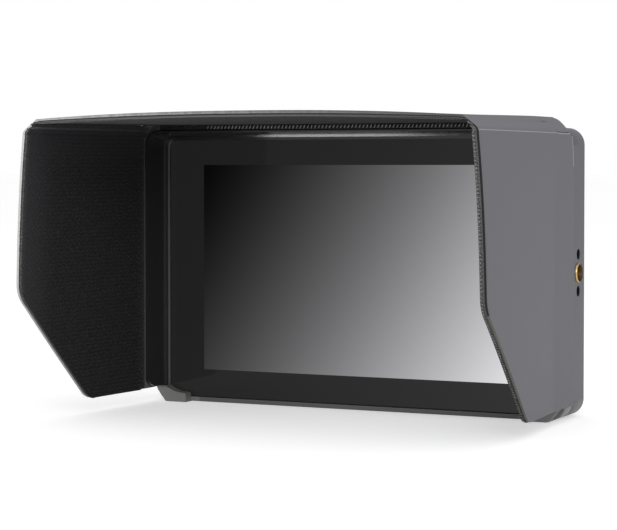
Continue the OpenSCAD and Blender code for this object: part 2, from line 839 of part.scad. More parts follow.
module flap_outline() {
  r = flap_r;
  low_y = glass_y - low_reach;
  lean = atan((knee_z - hood_low) / (low_y - hood_y));
  knee = r * tan((90 - lean) / 2);
  heel = r * tan(lean / 2);
  hull() {
    translate([hood_y, flap_z - 2]) square(2);
    translate([flap_y - 2, flap_z - 2]) square(2);
    translate([flap_y - 2, hood_low]) square(2);
    translate([hood_y + r, knee_z + knee]) circle(r);
    translate([low_y + heel, hood_low + r]) circle(r);
  }
}

module flap_layer(outer, inner) {
  translate([hinge_x, hinge_y, 0]) rotate([0, 0, splay]) translate([skin_x - hinge_x - inner, 0, 0])
    rotate([90, 0, 90]) linear_extrude(inner - outer) translate([-hinge_y, 0]) flap_outline();
}

// The cover ends in a round bead on the hinge line, where it creases against the band
module flap_cover() {
  flap_layer(0, cover_t);
  l = flap_z - hood_low - 1;
  translate([hinge_x, hinge_y, hood_low + 0.5]) rotate([0, 0, splay]) {
    cylinder(r = bead_r, h = l);
    translate([0, flap_y - hinge_y, 0]) cube([cover_t, hinge_y - flap_y - 0.2, l]);
  }
}

module flap_board() {
  flap_layer(cover_t, cover_t + board_t);
}

module flap_lining() {
  flap_layer(cover_t + board_t, panel_t);
}

module left_flap_cover() {
  color(metal) mirror([1, 0, 0]) flap_cover();
}

module left_flap_board() {
  color("#3c3c40") mirror([1, 0, 0]) flap_board();
}

module left_flap_lining() {
  color("#26282c") mirror([1, 0, 0]) flap_lining();
}

module right_flap_cover() {
  color(metal) flap_cover();
}

module right_flap_board() {
  color("#3c3c40") flap_board();
}

module right_flap_lining() {
  color("#26282c") flap_lining();
}

module top_cover() {
  w = top_half(top_z);
  color(metal) {
    top_layer(top_z - cover_t, top_z, hood_y, top_y);
    translate([-w, top_hinge_y, top_hinge_z]) rotate([0, 90, 0]) cylinder(r = bead_r, h = 2 * w);
    block([-w, w], [top_y, top_hinge_y - 0.2], [top_hinge_z, top_hinge_z + cover_t]);
  }
}

module top_board() {
  color("#3c3c40") top_layer(top_z - cover_t - board_t, top_z - cover_t, hood_y, top_y);
}

module top_lining() {
  color("#26282c") top_layer(top_z - panel_t, top_z - cover_t - board_t, hood_y, top_y);
}

module tab() {
  r = 1.5;
  translate([skin_x, 0, crease_z]) rotate([0, 180 + slope, 0]) {
    linear_extrude(tab_t) difference() {
      translate([0, hood_y]) square([tab_w, flap_y - hood_y]);
      translate([tab_w - r, hood_y + r]) difference() {
        translate([0, -r - 1]) square([r + 1, r + 1]);
        circle(r);
      }
    }
    translate([0, flap_y, tab_hinge]) rotate([90, 0, 0]) cylinder(r = tab_hinge, h = flap_y - hood_y);
  }
}

module left_tab() {
  color(metal) mirror([1, 0, 0]) tab();
}

module right_tab() {
  color(metal) tab();
}

front_frame();
rear_shell();
cover_glass();
glass_tape();
lcd_panel();
light_guide();
led_bar();
backlight_tray();
chassis_plate();
chassis_screws();
board_standoffs();
main_board();
board_screws();
display_ribbon();
thermal_pad();
heat_sink();
thread_inserts();
hdmi_sockets();
usb_socket();
dc_socket();
headphone_socket();
key_board();
power_button();
menu_button();
function_button();
battery_plate();
plate_screws();
battery_contacts();
battery_latch();
case_screws();
rear_pads();
hood_frame();
frame_lining();
left_side_band();
right_side_band();
top_band();
left_flap_cover();
left_flap_board();
left_flap_lining();
right_flap_cover();
right_flap_board();
right_flap_lining();
top_cover();
top_board();
top_lining();
left_tab();
right_tab();
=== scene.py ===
import bpy
import bmesh
import json
import math
from mathutils import Vector, Matrix


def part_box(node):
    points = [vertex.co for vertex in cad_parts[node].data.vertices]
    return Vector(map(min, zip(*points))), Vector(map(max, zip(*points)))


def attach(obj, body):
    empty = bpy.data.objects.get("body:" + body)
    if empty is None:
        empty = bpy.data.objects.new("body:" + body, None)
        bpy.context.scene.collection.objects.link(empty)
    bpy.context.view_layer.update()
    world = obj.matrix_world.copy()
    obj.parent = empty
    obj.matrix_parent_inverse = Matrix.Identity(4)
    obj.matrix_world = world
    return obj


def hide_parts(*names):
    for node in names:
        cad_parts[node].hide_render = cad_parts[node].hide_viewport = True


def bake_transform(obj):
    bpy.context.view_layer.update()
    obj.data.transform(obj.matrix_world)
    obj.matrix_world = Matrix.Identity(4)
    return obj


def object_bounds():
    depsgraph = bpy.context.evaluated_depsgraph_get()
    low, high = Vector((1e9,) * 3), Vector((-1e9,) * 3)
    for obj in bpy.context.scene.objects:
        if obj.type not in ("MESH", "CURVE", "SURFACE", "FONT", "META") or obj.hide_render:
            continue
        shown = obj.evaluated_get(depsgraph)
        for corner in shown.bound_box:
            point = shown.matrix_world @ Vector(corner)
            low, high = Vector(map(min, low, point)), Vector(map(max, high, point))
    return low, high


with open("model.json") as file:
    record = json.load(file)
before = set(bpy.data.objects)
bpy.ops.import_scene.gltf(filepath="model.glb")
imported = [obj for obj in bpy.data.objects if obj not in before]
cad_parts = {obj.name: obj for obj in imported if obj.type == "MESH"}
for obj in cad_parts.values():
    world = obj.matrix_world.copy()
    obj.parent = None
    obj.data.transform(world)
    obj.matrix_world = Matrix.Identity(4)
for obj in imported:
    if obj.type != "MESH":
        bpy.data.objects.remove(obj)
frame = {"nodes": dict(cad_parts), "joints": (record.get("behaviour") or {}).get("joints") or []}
cadLow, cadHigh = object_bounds()
nodes = frame["nodes"]
joints = {joint["name"]: joint for joint in frame["joints"]}
print("frame loaded")

mm = 0.001

# the camera stands level with the top of the picture, right of the screen
camera = {
    "eye": (0.37557, -0.85067, 0.1092),
    "azimuth": 25.5,
    "down": 1.756,
    "lens": 119.9,
    "shift": -0.06,
}


def makeCamera(settings):
    data = bpy.data.cameras.new("camera")
    data.lens = settings["lens"]
    data.shift_y = settings["shift"]
    data.clip_start, data.clip_end = 0.05, 30
    viewer = bpy.data.objects.new("camera", data)
    viewer.location = settings["eye"]
    viewer.rotation_euler = (math.radians(90 - settings["down"]), 0, math.radians(settings["azimuth"]))
    bpy.context.scene.collection.objects.link(viewer)
    bpy.context.scene.camera = viewer


makeCamera(camera)
print("camera set")


def tone(red, green, blue):
    # a screen colour from 0 to 255 as the linear values that a shader takes
    def linear(value):
        share = value / 255
        return share / 12.92 if share <= 0.04045 else ((share + 0.055) / 1.055) ** 2.4
    return (linear(red), linear(green), linear(blue), 1)


def addNode(tree, kind, inputs=None, **settings):
    node = tree.nodes.new(kind)
    for key, value in settings.items():
        setattr(node, key, value)
    for key, value in (inputs or {}).items():
        node.inputs[key].default_value = value
    return node


def join(tree, source, output, target, entry):
    tree.links.new(source.outputs[output], target.inputs[entry])


def mixColours(tree, factor, first, second):
    # factor is an output socket; first and second are colours or output sockets
    mix = addNode(tree, "ShaderNodeMix", data_type="RGBA")
    tree.links.new(factor, mix.inputs[0])
    for entry, colour in ((6, first), (7, second)):
        if hasattr(colour, "is_linked"):
            tree.links.new(colour, mix.inputs[entry])
        else:
            mix.inputs[entry].default_value = colour
    return mix.outputs[2]


def startMaterial(name, constants):
    material = bpy.data.materials.new(name)
    material.use_nodes = True
    shader = material.node_tree.nodes["Principled BSDF"]
    for key, value in constants.items():
        shader.inputs[key].default_value = value
    return material, material.node_tree, shader


def shade(colour, factor):
    return tuple(min(1, part * factor) for part in colour[:3]) + (1,)


def grainedFinish(name, look):
    # an even colour with a slow drift, a fine grain and light specks
    material, tree, shader = startMaterial(name, look["surface"])
    place = addNode(tree, "ShaderNodeTexCoord")
    drift = addNode(tree, "ShaderNodeTexNoise", {"Scale": look["driftScale"], "Detail": 3})
    grain = addNode(tree, "ShaderNodeTexNoise", {"Scale": look["grainScale"], "Detail": 2})
    join(tree, place, "Object", drift, "Vector")
    join(tree, place, "Object", grain, "Vector")
    colour = look["colour"]
    tinted = mixColours(tree, drift.outputs["Fac"], shade(colour, 1 - look["drift"]), shade(colour, 1 + look["drift"]))
    rough = addNode(tree, "ShaderNodeMapRange", {"To Min": look["roughness"][0], "To Max": look["roughness"][1]})
    join(tree, grain, "Fac", rough, "Value")
    join(tree, rough, "Result", shader, "Roughness")
    if look.get("specks"):
        cells = addNode(tree, "ShaderNodeTexVoronoi", {"Scale": look["specks"]})
        join(tree, place, "Object", cells, "Vector")
        near = addNode(tree, "ShaderNodeMath", operation="LESS_THAN")
        join(tree, cells, "Distance", near, 0)
        near.inputs[1].default_value = look["speckSize"]
        tinted = mixColours(tree, near.outputs[0], tinted, shade(colour, look["speckShade"]))
    if look.get("feet"):
        # painted light: the feet low at the sides are painted paler than the casting above them, in place of the light
        # that reaches them from the floor
        parts = addNode(tree, "ShaderNodeSeparateXYZ")
        join(tree, place, "Object", parts, "Vector")
        beside = addNode(tree, "ShaderNodeMath", operation="ABSOLUTE")
        join(tree, parts, "X", beside, 0)
        litFeetShare = addNode(tree, "ShaderNodeMath", operation="MULTIPLY")
        for entry, source, output, word in ((0, parts, "Z", "above"), (1, beside, 0, "beside")):
            low, high = look["feet"][word]
            share = addNode(tree, "ShaderNodeMapRange", {"From Min": low, "From Max": high})
            join(tree, source, output, share, "Value")
            join(tree, share, "Result", litFeetShare, entry)
        tinted = mixColours(tree, litFeetShare.outputs[0], tinted, shade(colour, look["feet"]["shade"]))
    tree.links.new(tinted, shader.inputs["Base Color"])
    bump = addNode(tree, "ShaderNodeBump", {"Strength": look["bump"], "Distance": 0.0002})
    join(tree, grain, "Fac", bump, "Height")
    join(tree, bump, "Normal", shader, "Normal")
    return material


def velourFinish(name, look):
    # knitted pile: fine ribs across one direction, broken up by fibre noise
    material, tree, shader = startMaterial(name, look["surface"])
    place = addNode(tree, "ShaderNodeTexCoord")
    ribs = addNode(tree, "ShaderNodeTexWave", {
        "Scale": 0.314 / look["ribPitch"], "Distortion": 3.2, "Detail": 4, "Detail Scale": 3,
    }, wave_type="BANDS", bands_direction=look["across"])
    fibre = addNode(tree, "ShaderNodeTexNoise", {"Scale": look["fibreScale"], "Detail": 4, "Roughness": 0.7})
    for texture in (ribs, fibre):
        join(tree, place, "Object", texture, "Vector")
    colour = look["colour"]
    contrast = addNode(tree, "ShaderNodeMapRange", {"From Min": 0.36, "From Max": 0.72})
    join(tree, fibre, "Fac", contrast, "Value")
    pile = mixColours(tree, contrast.outputs["Result"], shade(colour, 0.12), shade(colour, 3.1))
    lines = addNode(tree, "ShaderNodeMath", {1: look["ribDepth"]}, operation="MULTIPLY")
    join(tree, ribs, "Fac", lines, 0)
    ribbed = mixColours(tree, lines.outputs[0], pile, shade(colour, 0.3))
    lint = addNode(tree, "ShaderNodeTexVoronoi", {"Scale": 330})
    join(tree, place, "Object", lint, "Vector")
    near = addNode(tree, "ShaderNodeMath", {1: 0.075}, operation="LESS_THAN")
    join(tree, lint, "Distance", near, 0)
    dusty = mixColours(tree, near.outputs[0], ribbed, shade(colour, 6))
    # painted light: the pile is painted lighter towards the front and under the top, where more light falls on it
    parts = addNode(tree, "ShaderNodeSeparateXYZ")
    join(tree, place, "Object", parts, "Vector")
    paintedLight = addNode(tree, "ShaderNodeMath", operation="MAXIMUM")
    for entry, axis, reach in ((0, "Y", look["litFront"]), (1, "Z", look["litTop"])):
        share = addNode(tree, "ShaderNodeMapRange", {"From Min": reach[0], "From Max": reach[1], "To Max": reach[2]},
                        interpolation_type="SMOOTHSTEP")
        join(tree, parts, axis, share, "Value")
        join(tree, share, "Result", paintedLight, entry)
    pale = mixColours(tree, paintedLight.outputs[0], dusty, shade(colour, look["litShade"]))
    tree.links.new(pale, shader.inputs["Base Color"])
    relief = addNode(tree, "ShaderNodeMath", operation="ADD")
    join(tree, ribs, "Fac", relief, 0)
    join(tree, fibre, "Fac", relief, 1)
    bump = addNode(tree, "ShaderNodeBump", {"Strength": 0.7, "Distance": 0.0003})
    join(tree, relief, "Value", bump, "Height")
    join(tree, bump, "Normal", shader, "Normal")
    return material


def glowingGradientFinish(name, look):
    # a glowing colour that brightens from the top left to the bottom right: the lit picture, and a painted reflection
    # on the black print
    material, tree, shader = startMaterial(name, look["surface"])
    place = addNode(tree, "ShaderNodeTexCoord")
    parts = addNode(tree, "ShaderNodeSeparateXYZ")
    join(tree, place, "Object", parts, "Vector")
    across = addNode(tree, "ShaderNodeMapRange", {
        "From Min": look["left"], "From Max": look["right"], "To Min": 0, "To Max": look["acrossShare"]}, clamp=False)
    down = addNode(tree, "ShaderNodeMapRange", {
        "From Min": look["top"], "From Max": look["bottom"], "To Min": look["start"],
        "To Max": look["start"] + 1 - look["acrossShare"]}, clamp=False)
    join(tree, parts, "X", across, "Value")
    join(tree, parts, "Z", down, "Value")
    both = addNode(tree, "ShaderNodeMath", operation="ADD")
    join(tree, across, "Result", both, 0)
    join(tree, down, "Result", both, 1)
    curve = addNode(tree, "ShaderNodeMath", {1: look["power"]}, operation="POWER")
    join(tree, both, "Value", curve, 0)
    level = addNode(tree, "ShaderNodeMath", {1: look["peak"]}, operation="MULTIPLY")
    join(tree, curve, "Value", level, 0)
    picture = mixColours(tree, level.outputs[0], look["dark"], look["light"])
    tree.links.new(picture, shader.inputs[look["into"]])
    return material


plain = {
    "metalHousing": {
        "colour": tone(94, 93, 99), "drift": 0.03, "driftScale": 9, "grainScale": 5200,
        "roughness": (0.42, 0.52), "bump": 0.12,
        "surface": {"Metallic": 0.25, "Specular IOR Level": 0.4},
    },
    # painted light: the feet entry pales the feet low at the sides
    "frontCasting": {
        "colour": tone(104, 104, 103), "drift": 0.05, "driftScale": 30, "grainScale": 4200,
        "roughness": (0.42, 0.52), "bump": 0.15, "feet": {"above": (0.0074, 0.0058), "beside": (0.0772, 0.0788), "shade": 1.75},
        "surface": {"Metallic": 0.15, "Specular IOR Level": 0.4},
    },
    "hoodSkin": {
        "colour": tone(106, 105, 111), "drift": 0.035, "driftScale": 14, "grainScale": 3800,
        "roughness": (0.5, 0.62), "bump": 0.18, "specks": 95, "speckSize": 0.022, "speckShade": 1.8,
        "surface": {"Specular IOR Level": 0.35},
    },
    # painted light: the grey skin where it turns over an edge, painted paler as lit
    "litSkinWrap": {
        "colour": tone(160, 161, 160), "drift": 0.05, "driftScale": 60, "grainScale": 3000,
        "roughness": (0.45, 0.6), "bump": 0.2, "surface": {"Specular IOR Level": 0.45},
    },
    # painted highlight: the pale line along the creases of the skin
    "creaseHighlight": {
        "colour": tone(146, 150, 160), "drift": 0.12, "driftScale": 300, "grainScale": 3000,
        "roughness": (0.4, 0.55), "bump": 0.2, "surface": {"Specular IOR Level": 0.45},
    },
    # painted shade: an olive grey, darker than the lit turned skin, on the right flap's edge along the slant
    "shadedSlantWrap": {
        "colour": tone(104, 104, 97), "drift": 0.1, "driftScale": 90, "grainScale": 2600,
        "roughness": (0.55, 0.7), "bump": 0.2, "surface": {"Specular IOR Level": 0.3},
    },
    # near black: the seam at the panel edges, and painted shade where it lines the pin holes
    "blackSeamAndShade": {
        "colour": tone(17, 17, 18), "drift": 0.1, "driftScale": 200, "grainScale": 2600,
        "roughness": (0.55, 0.7), "bump": 0.2, "surface": {"Specular IOR Level": 0.3},
    },
    "frameGloss": {
        "colour": tone(44, 44, 44), "drift": 0.08, "driftScale": 20, "grainScale": 1500,
        "roughness": (0.12, 0.16), "bump": 0.01, "surface": {"Specular IOR Level": 0.5},
    },
    "mattePlastic": {
        "colour": tone(30, 30, 32), "drift": 0.06, "driftScale": 30, "grainScale": 2600,
        "roughness": (0.5, 0.62), "bump": 0.3, "surface": {"Specular IOR Level": 0.4},
    },
    "brassTurned": {
        "colour": tone(203, 172, 114), "drift": 0.14, "driftScale": 160, "grainScale": 1800,
        "roughness": (0.22, 0.32), "bump": 0.12, "surface": {"Metallic": 1},
    },
    # painted shade: the brass of the threads and the bore, darkened where shade falls inside
    "brassPaintedShade": {
        "colour": tone(74, 58, 36), "drift": 0.2, "driftScale": 260, "grainScale": 1800,
        "roughness": (0.35, 0.5), "bump": 0.15, "surface": {"Metallic": 0.9},
    },
    "steelPlated": {
        "colour": tone(176, 178, 182), "drift": 0.06, "driftScale": 60, "grainScale": 2200,
        "roughness": (0.28, 0.38), "bump": 0.1, "surface": {"Metallic": 1},
    },
    "screwSteel": {
        "colour": tone(62, 62, 66), "drift": 0.1, "driftScale": 90, "grainScale": 2200,
        "roughness": (0.32, 0.44), "bump": 0.12, "surface": {"Metallic": 0.9},
    },
    "boardMask": {
        "colour": tone(24, 74, 48), "drift": 0.1, "driftScale": 40, "grainScale": 900,
        "roughness": (0.32, 0.45), "bump": 0.15, "surface": {"Specular IOR Level": 0.5},
    },
    "displayFilm": {
        "colour": tone(205, 210, 214), "drift": 0.04, "driftScale": 30, "grainScale": 800,
        "roughness": (0.2, 0.3), "bump": 0.05, "surface": {"Specular IOR Level": 0.5},
    },
    "blackTape": {
        "colour": tone(34, 34, 36), "drift": 0.06, "driftScale": 70, "grainScale": 2000,
        "roughness": (0.6, 0.75), "bump": 0.2, "surface": {"Specular IOR Level": 0.3},
    },
    "padRubber": {
        "colour": tone(26, 26, 27), "drift": 0.08, "driftScale": 50, "grainScale": 1600,
        "roughness": (0.65, 0.8), "bump": 0.35, "surface": {"Specular IOR Level": 0.3},
    },
    "darkThread": {
        "colour": tone(24, 24, 25), "drift": 0.3, "driftScale": 500, "grainScale": 6000,
        "roughness": (0.6, 0.8), "bump": 0.4, "surface": {"Sheen Weight": 0.3},
    },
    "dimThread": {
        "colour": tone(52, 52, 54), "drift": 0.3, "driftScale": 420, "grainScale": 6000,
        "roughness": (0.6, 0.8), "bump": 0.4, "surface": {"Sheen Weight": 0.2},
    },
    "greyThread": {
        "colour": tone(134, 134, 130), "drift": 0.4, "driftScale": 420, "grainScale": 6000,
        "roughness": (0.5, 0.7), "bump": 0.4, "surface": {"Sheen Weight": 0.4},
    },
}
finishes = {name: grainedFinish(name, look) for name, look in plain.items()}


def paintedFalloffFinish(name, look):
    # painted light: a colour that changes evenly from one end of the panel to the other, as lit at one end and shaded
    # at the other
    material, tree, shader = startMaterial(name, look["surface"])
    place = addNode(tree, "ShaderNodeTexCoord")
    parts = addNode(tree, "ShaderNodeSeparateXYZ")
    share = addNode(tree, "ShaderNodeMapRange", {"From Min": look["from"], "From Max": look["to"]})
    grain = addNode(tree, "ShaderNodeTexNoise", {"Scale": look["grainScale"], "Detail": 3})
    join(tree, place, "Object", parts, "Vector")
    join(tree, place, "Object", grain, "Vector")
    join(tree, parts, "X", share, "Value")
    falloff = mixColours(tree, share.outputs["Result"], look["start"], look["end"])
    worn = mixColours(tree, grain.outputs["Fac"], falloff, shade(look["end"], 1.25))
    tree.links.new(worn, shader.inputs["Base Color"])
    return material


# painted light: the top's turned front edge, pale at the left end and darkening towards the right as the light falls
# off
finishes["topWrap"] = paintedFalloffFinish("topWrap", {
    "from": -0.095, "to": 0.095, "start": tone(178, 179, 178), "end": tone(62, 62, 64), "grainScale": 700,
    "surface": {"Roughness": 0.5, "Specular IOR Level": 0.4},
})

# litFront and litTop paint light onto the pile: where it starts, where it is full, and how much; litShade is how pale
# it gets
velour = {
    "colour": tone(30, 30, 32), "ribPitch": 1.7 * mm, "ribDepth": 0.85, "fibreScale": 1500, "across": "Z",
    "litFront": (-0.1, -0.129, 0.75), "litTop": (0.104, 0.126, 0.85), "litShade": 2.9,
    "surface": {"Roughness": 0.95, "Specular IOR Level": 0.08, "Sheen Weight": 0.2, "Sheen Roughness": 0.4},
}
finishes["velour"] = velourFinish("velour", velour)
finishes["topVelour"] = velourFinish("topVelour", dict(velour, across="Y", colour=tone(34, 34, 35), ribDepth=0.3,
                                                   litFront=(-0.1, -0.129, 0), litTop=(0.104, 0.126, 0),
                                                   surface=dict(velour["surface"], **{"Sheen Weight": 0.08, "Specular IOR Level": 0.04})))
# painted light: the lining turned over the panel edges, painted paler than the lining as lit from the front
finishes["litLiningEdge"] = velourFinish("litLiningEdge", dict(velour, colour=tone(62, 62, 62), ribPitch=0.9 * mm, litTop=(0.104, 0.126, 0)))

nodeFinishes = {
    "metalHousing": ["rear_shell"],
    "frontCasting": ["front_frame"],
    "hoodSkin": ["left_side_band", "right_side_band", "top_band"],
    "frameGloss": ["hood_frame"],
    "topVelour": ["frame_lining"],
    "mattePlastic": ["battery_plate", "dc_socket", "headphone_socket", "power_button", "menu_button",
                     "function_button", "battery_latch"],
    "brassTurned": ["thread_inserts", "board_standoffs", "battery_contacts"],
    "steelPlated": ["hdmi_sockets", "usb_socket", "backlight_tray", "chassis_plate", "chassis_screws",
                    "board_screws", "heat_sink"],
    "screwSteel": ["case_screws", "plate_screws"],
    "boardMask": ["main_board", "key_board"],
    "displayFilm": ["lcd_panel", "light_guide", "led_bar", "thermal_pad"],
    "blackTape": ["glass_tape", "display_ribbon"],
    "padRubber": ["rear_pads"],
}
for finish, names in nodeFinishes.items():
    for name in names:
        for slot in nodes[name].material_slots:
            slot.material = finishes[finish]
print("finishes made")


def meshPiece(name, points, faces, faceFinish, finishNames, smooth=35):
    # a closed shell with its faces turned outwards
    mesh = bpy.data.meshes.new(name)
    mesh.from_pydata([tuple(point) for point in points], [], faces)
    for finishName in finishNames:
        mesh.materials.append(finishes[finishName])
    for polygon, index in zip(mesh.polygons, faceFinish):
        polygon.material_index = index
    shell = bmesh.new()
    shell.from_mesh(mesh)
    bmesh.ops.recalc_face_normals(shell, faces=shell.faces)
    shell.to_mesh(mesh)
    shell.free()
    piece = bpy.data.objects.new(name, mesh)
    bpy.context.scene.collection.objects.link(piece)
    mesh.shade_smooth()
    mesh.set_sharp_from_angle(angle=math.radians(smooth))
    return piece


def layeredPiece(name, outer, inner, finishNames, rim=None, outerFinish=None):
    # outer and inner are grids of points with the same rows and columns, in metres.
    # rim(row, column) gives the edge between them: (depth, outward step, finish) in millimetres
    rows, columns = len(outer), len(outer[0])
    points, faces, marks = [], [], []
    for layer in (outer, inner):
        points.extend(point for line in layer for point in line)
    under = rows * columns
    for row in range(rows - 1):
        for column in range(columns - 1):
            corner = row * columns + column
            ring = [corner, corner + 1, corner + columns + 1, corner + columns]
            faces.append(ring)
            marks.append(outerFinish(row, column) if outerFinish else 0)
            faces.append([under + index for index in ring[::-1]])
            marks.append(len(finishNames) - 1)
    border = [(0, column) for column in range(columns)]
    border += [(row, columns - 1) for row in range(1, rows)]
    border += [(rows - 1, column) for column in range(columns - 2, -1, -1)]
    border += [(row, 0) for row in range(rows - 2, 0, -1)]
    rings = [[row * columns + column for row, column in border]]
    bands = []
    if rim:
        styles = [rim(row, column) for row, column in border]
        for step in range(len(styles[0])):
            ring = []
            for (row, column), style in zip(border, styles):
                inside = outer[min(max(row, 1), rows - 2)][min(max(column, 1), columns - 2)]
                away = (outer[row][column] - inside).normalized()
                through = inner[row][column] - outer[row][column]
                depth, swell = style[step][:2]
                ring.append(len(points))
                points.append(outer[row][column] + through.normalized() * depth * mm + away * swell * mm)
            rings.append(ring)
            bands.append([style[step][2] for style in styles])
    rings.append([under + row * columns + column for row, column in border])
    bands.append([len(finishNames) - 1 if rim else 0] * len(border))
    for index, band in enumerate(bands):
        for step in range(len(border)):
            after = (step + 1) % len(border)
            faces.append([rings[index][step], rings[index + 1][step], rings[index + 1][after], rings[index][after]])
            marks.append(max(band[step], band[after]))
    return meshPiece(name, points, faces, marks, finishNames)


# the folding hood, in millimetres of the CAD frame
hood = {
    "skinX": 100.3, "creaseZ": 123.2, "topZ": 129.4, "slopeWidth": 5.5,
    "hingeY": -35.0, "flapY": -36.0, "frontY": -127.5, "lowY": -76.0, "lowZ": 6.2,
    "kneeZ": 54.7, "cornerR": 11.0, "thickness": 2.3, "lean": 0.97, "bow": 3.9,
    "topY": -42.0, "topHalf": 94.8, "underHalf": 96.84, "tabEnd": 96.95, "tabThickness": 1.2,
    "archMiddle": 1.4, "archSide": -1.2, "creaseRound": 1.5, "bandY": -34.3, "stripY": -31.9, "rimY": -22.15,
}
panelFinishes = ["hoodSkin", "litSkinWrap", "blackSeamAndShade", "litLiningEdge", "velour"]
# the edge of a panel: turned skin painted pale as lit, a near-black seam, then the bound edge of the lining, also
# painted pale as lit
wrappedEdge = [(0.04, 0.2, 1), (0.3, 0.4, 1), (0.8, 0.45, 1), (1.25, 0.35, 1), (1.35, 0.1, 2), (1.7, 0.1, 2), (1.9, 0.38, 3), (2.5, 0.38, 3), (2.8, 0.12, 3)]
blackEdge = [(0.04, 0.1, 0), (0.12, 0.12, 2), (0.5, 0.08, 2), (0.95, 0.08, 2), (1.1, 0.36, 3), (1.9, 0.6, 3), (2.6, 0.5, 3), (2.85, 0.12, 3)]
plainEdge = [(0.2, 0, 0), (0.5, 0, 0), (0.8, 0, 0), (1.1, 0, 0), (1.4, 0, 4), (1.7, 0, 4), (2.0, 0, 4), (2.2, 0, 4)]
slopedEdge = [(0.4, 0, 0), (0.9, 0, 0), (1.4, 0, 0), (1.8, 0, 0), (2.2, 0, 0), (2.5, 0, 0), (2.8, 0, 0), (2.98, 0, 0)]


def shareForward(y):
    return max(0, min(1, (hood["hingeY"] - y) / (hood["hingeY"] - hood["frontY"])))


def flapFront(z):
    # where the front edge of a side flap runs at height z
    low, knee, radius = hood["lowZ"], hood["kneeZ"], hood["cornerR"]
    slant = math.atan2(knee - low, hood["lowY"] - hood["frontY"])
    heelTop = low + radius * (1 - math.cos(slant))
    kneeCentre = knee + radius * math.tan((math.pi / 2 - slant) / 2)
    if z <= heelTop:
        heelRun = radius * math.tan(slant / 2)
        return hood["lowY"] + heelRun - math.sqrt(max(0, radius ** 2 - (radius - z + low) ** 2))
    if z >= kneeCentre:
        return hood["frontY"]
    if z >= kneeCentre - radius * math.cos(slant):
        return hood["frontY"] + radius - math.sqrt(max(0, radius ** 2 - (kneeCentre - z) ** 2))
    return hood["lowY"] - (z - low) / math.tan(slant)


def flapPoint(side, y, z, inward=0.0):
    # a point on a side flap: it leans and bows outwards below its straight crease
    forward = shareForward(y)
    down = max(0, min(1, (hood["creaseZ"] - z) / (hood["creaseZ"] - hood["lowZ"])))
    bow = hood["bow"] * forward * (2 - forward) * forward / (forward + 0.05) * 1.05 * (1 - (1 - down) ** 3)
    return Vector((side * (hood["skinX"] + hood["lean"] * forward + bow - inward), y, z)) * mm


def flapRows():
    low, knee, top = hood["lowZ"], hood["kneeZ"], hood["creaseZ"] - hood["creaseRound"]
    heel = [low + 3.1 * (step / 8) ** 2 for step in range(9)]
    slant = [heel[-1] + (knee - 6 - heel[-1]) * step / 16 for step in range(1, 17)]
    corner = [knee - 6 + 12 * step / 10 for step in range(1, 11)]
    upper = [corner[-1] + (top - corner[-1]) * step / 24 for step in range(1, 25)]
    return heel + slant + corner + upper


def makeFlap(side, name):
    outer, inner = [], []
    for z in flapRows():
        front = flapFront(z)
        steps = [hood["flapY"] + (front - hood["flapY"]) * step / 30 for step in range(31)]
        outer.append([flapPoint(side, y, z) for y in steps])
        inner.append([flapPoint(side, y, z, hood["thickness"]) for y in steps])
    last = len(outer) - 1
    edge = wrappedEdge if side < 0 else blackEdge
    heights = flapRows()

    def rim(row, column):
        # full and black along the front, flatter along the slant and the bottom; on the right flap the black turns to a
        # painted shade grey low on the slant
        if not ((column > 0 and row < last) or column == 30):
            return plainEdge
        full = max(0, min(1, (heights[row] - hood["kneeZ"] + 8) / 12))
        swelling = 0.15 + 0.85 * full
        return [(depth, swell * swelling, 1 if side > 0 and mark == 2 and full < 0.5 else mark) for depth, swell, mark in edge]
    names = panelFinishes if side < 0 else ["hoodSkin", "shadedSlantWrap"] + panelFinishes[2:]
    return layeredPiece(name, outer, inner, names, rim)


for side, word in ((-1, "left"), (1, "right")):
    flap = makeFlap(side, word + "Flap")
    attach(flap, word + "_flap")
    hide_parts(word + "_flap_cover", word + "_flap_board", word + "_flap_lining")
print("side flaps made")


def topRise(x, y):
    # how far the top stands above its flat CAD solid
    forward = max(0, (hood["topY"] - y) / (hood["topY"] - hood["frontY"])) ** 1.3
    middle = 1 - min(1, abs(x) / hood["topHalf"]) ** 2.3
    return forward * (hood["archSide"] + (hood["archMiddle"] - hood["archSide"]) * middle)


def slopePoint(side, along, y, deep=0.0):
    # a point on the slope between a side and the top, along it from crease to top
    foot = Vector((hood["skinX"] + hood["lean"] * shareForward(y), hood["creaseZ"]))
    head = Vector((hood["topHalf"], hood["topZ"] + topRise(hood["topHalf"], y)))
    run = (head - foot).normalized()
    point = foot + run * along + Vector((-run.y, run.x)) * deep
    return Vector((side * point.x, y, point.y)) * mm


def slopeAt(x, y):
    # how far along the slope half width x is reached
    foot = hood["skinX"] + hood["lean"] * shareForward(y)
    head = Vector((hood["topHalf"] - foot, hood["topZ"] + topRise(hood["topHalf"], y) - hood["creaseZ"]))
    return (foot - x) / (foot - hood["topHalf"]) * head.length


def makeTop():
    outer, inner = [], []
    for row in range(33):
        y = hood["topY"] + (hood["frontY"] - hood["topY"]) * row / 32
        sideZ = slopePoint(1, slopeAt(hood["underHalf"], y), y).z / mm
        outerRow, innerRow = [], []
        for column in range(49):
            share = column / 24 - 1
            x, under = share * hood["topHalf"], share * hood["underHalf"]
            low = hood["topZ"] - hood["thickness"] + max(0, topRise(x, y))
            low += (sideZ - low) * abs(share) ** 8 - 0.25 * abs(share) ** 40
            outerRow.append(Vector((x, y, hood["topZ"] + topRise(x, y))) * mm)
            innerRow.append(Vector((under, y, low)) * mm)
        outer.append(outerRow)
        inner.append(innerRow)

    def rim(row, column):
        if column in (0, 48):
            return slopedEdge
        return wrappedEdge if row == 32 else plainEdge
    return layeredPiece("topPanel", outer, inner, ["hoodSkin", "topWrap", "blackSeamAndShade", "litLiningEdge", "topVelour"], rim)


top = makeTop()
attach(top, "hood_top")
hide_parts("top_cover", "top_board", "top_lining")
print("top panel made")


def rowsFrom(start, end, count):
    return [start + (end - start) * step / count for step in range(count + 1)]


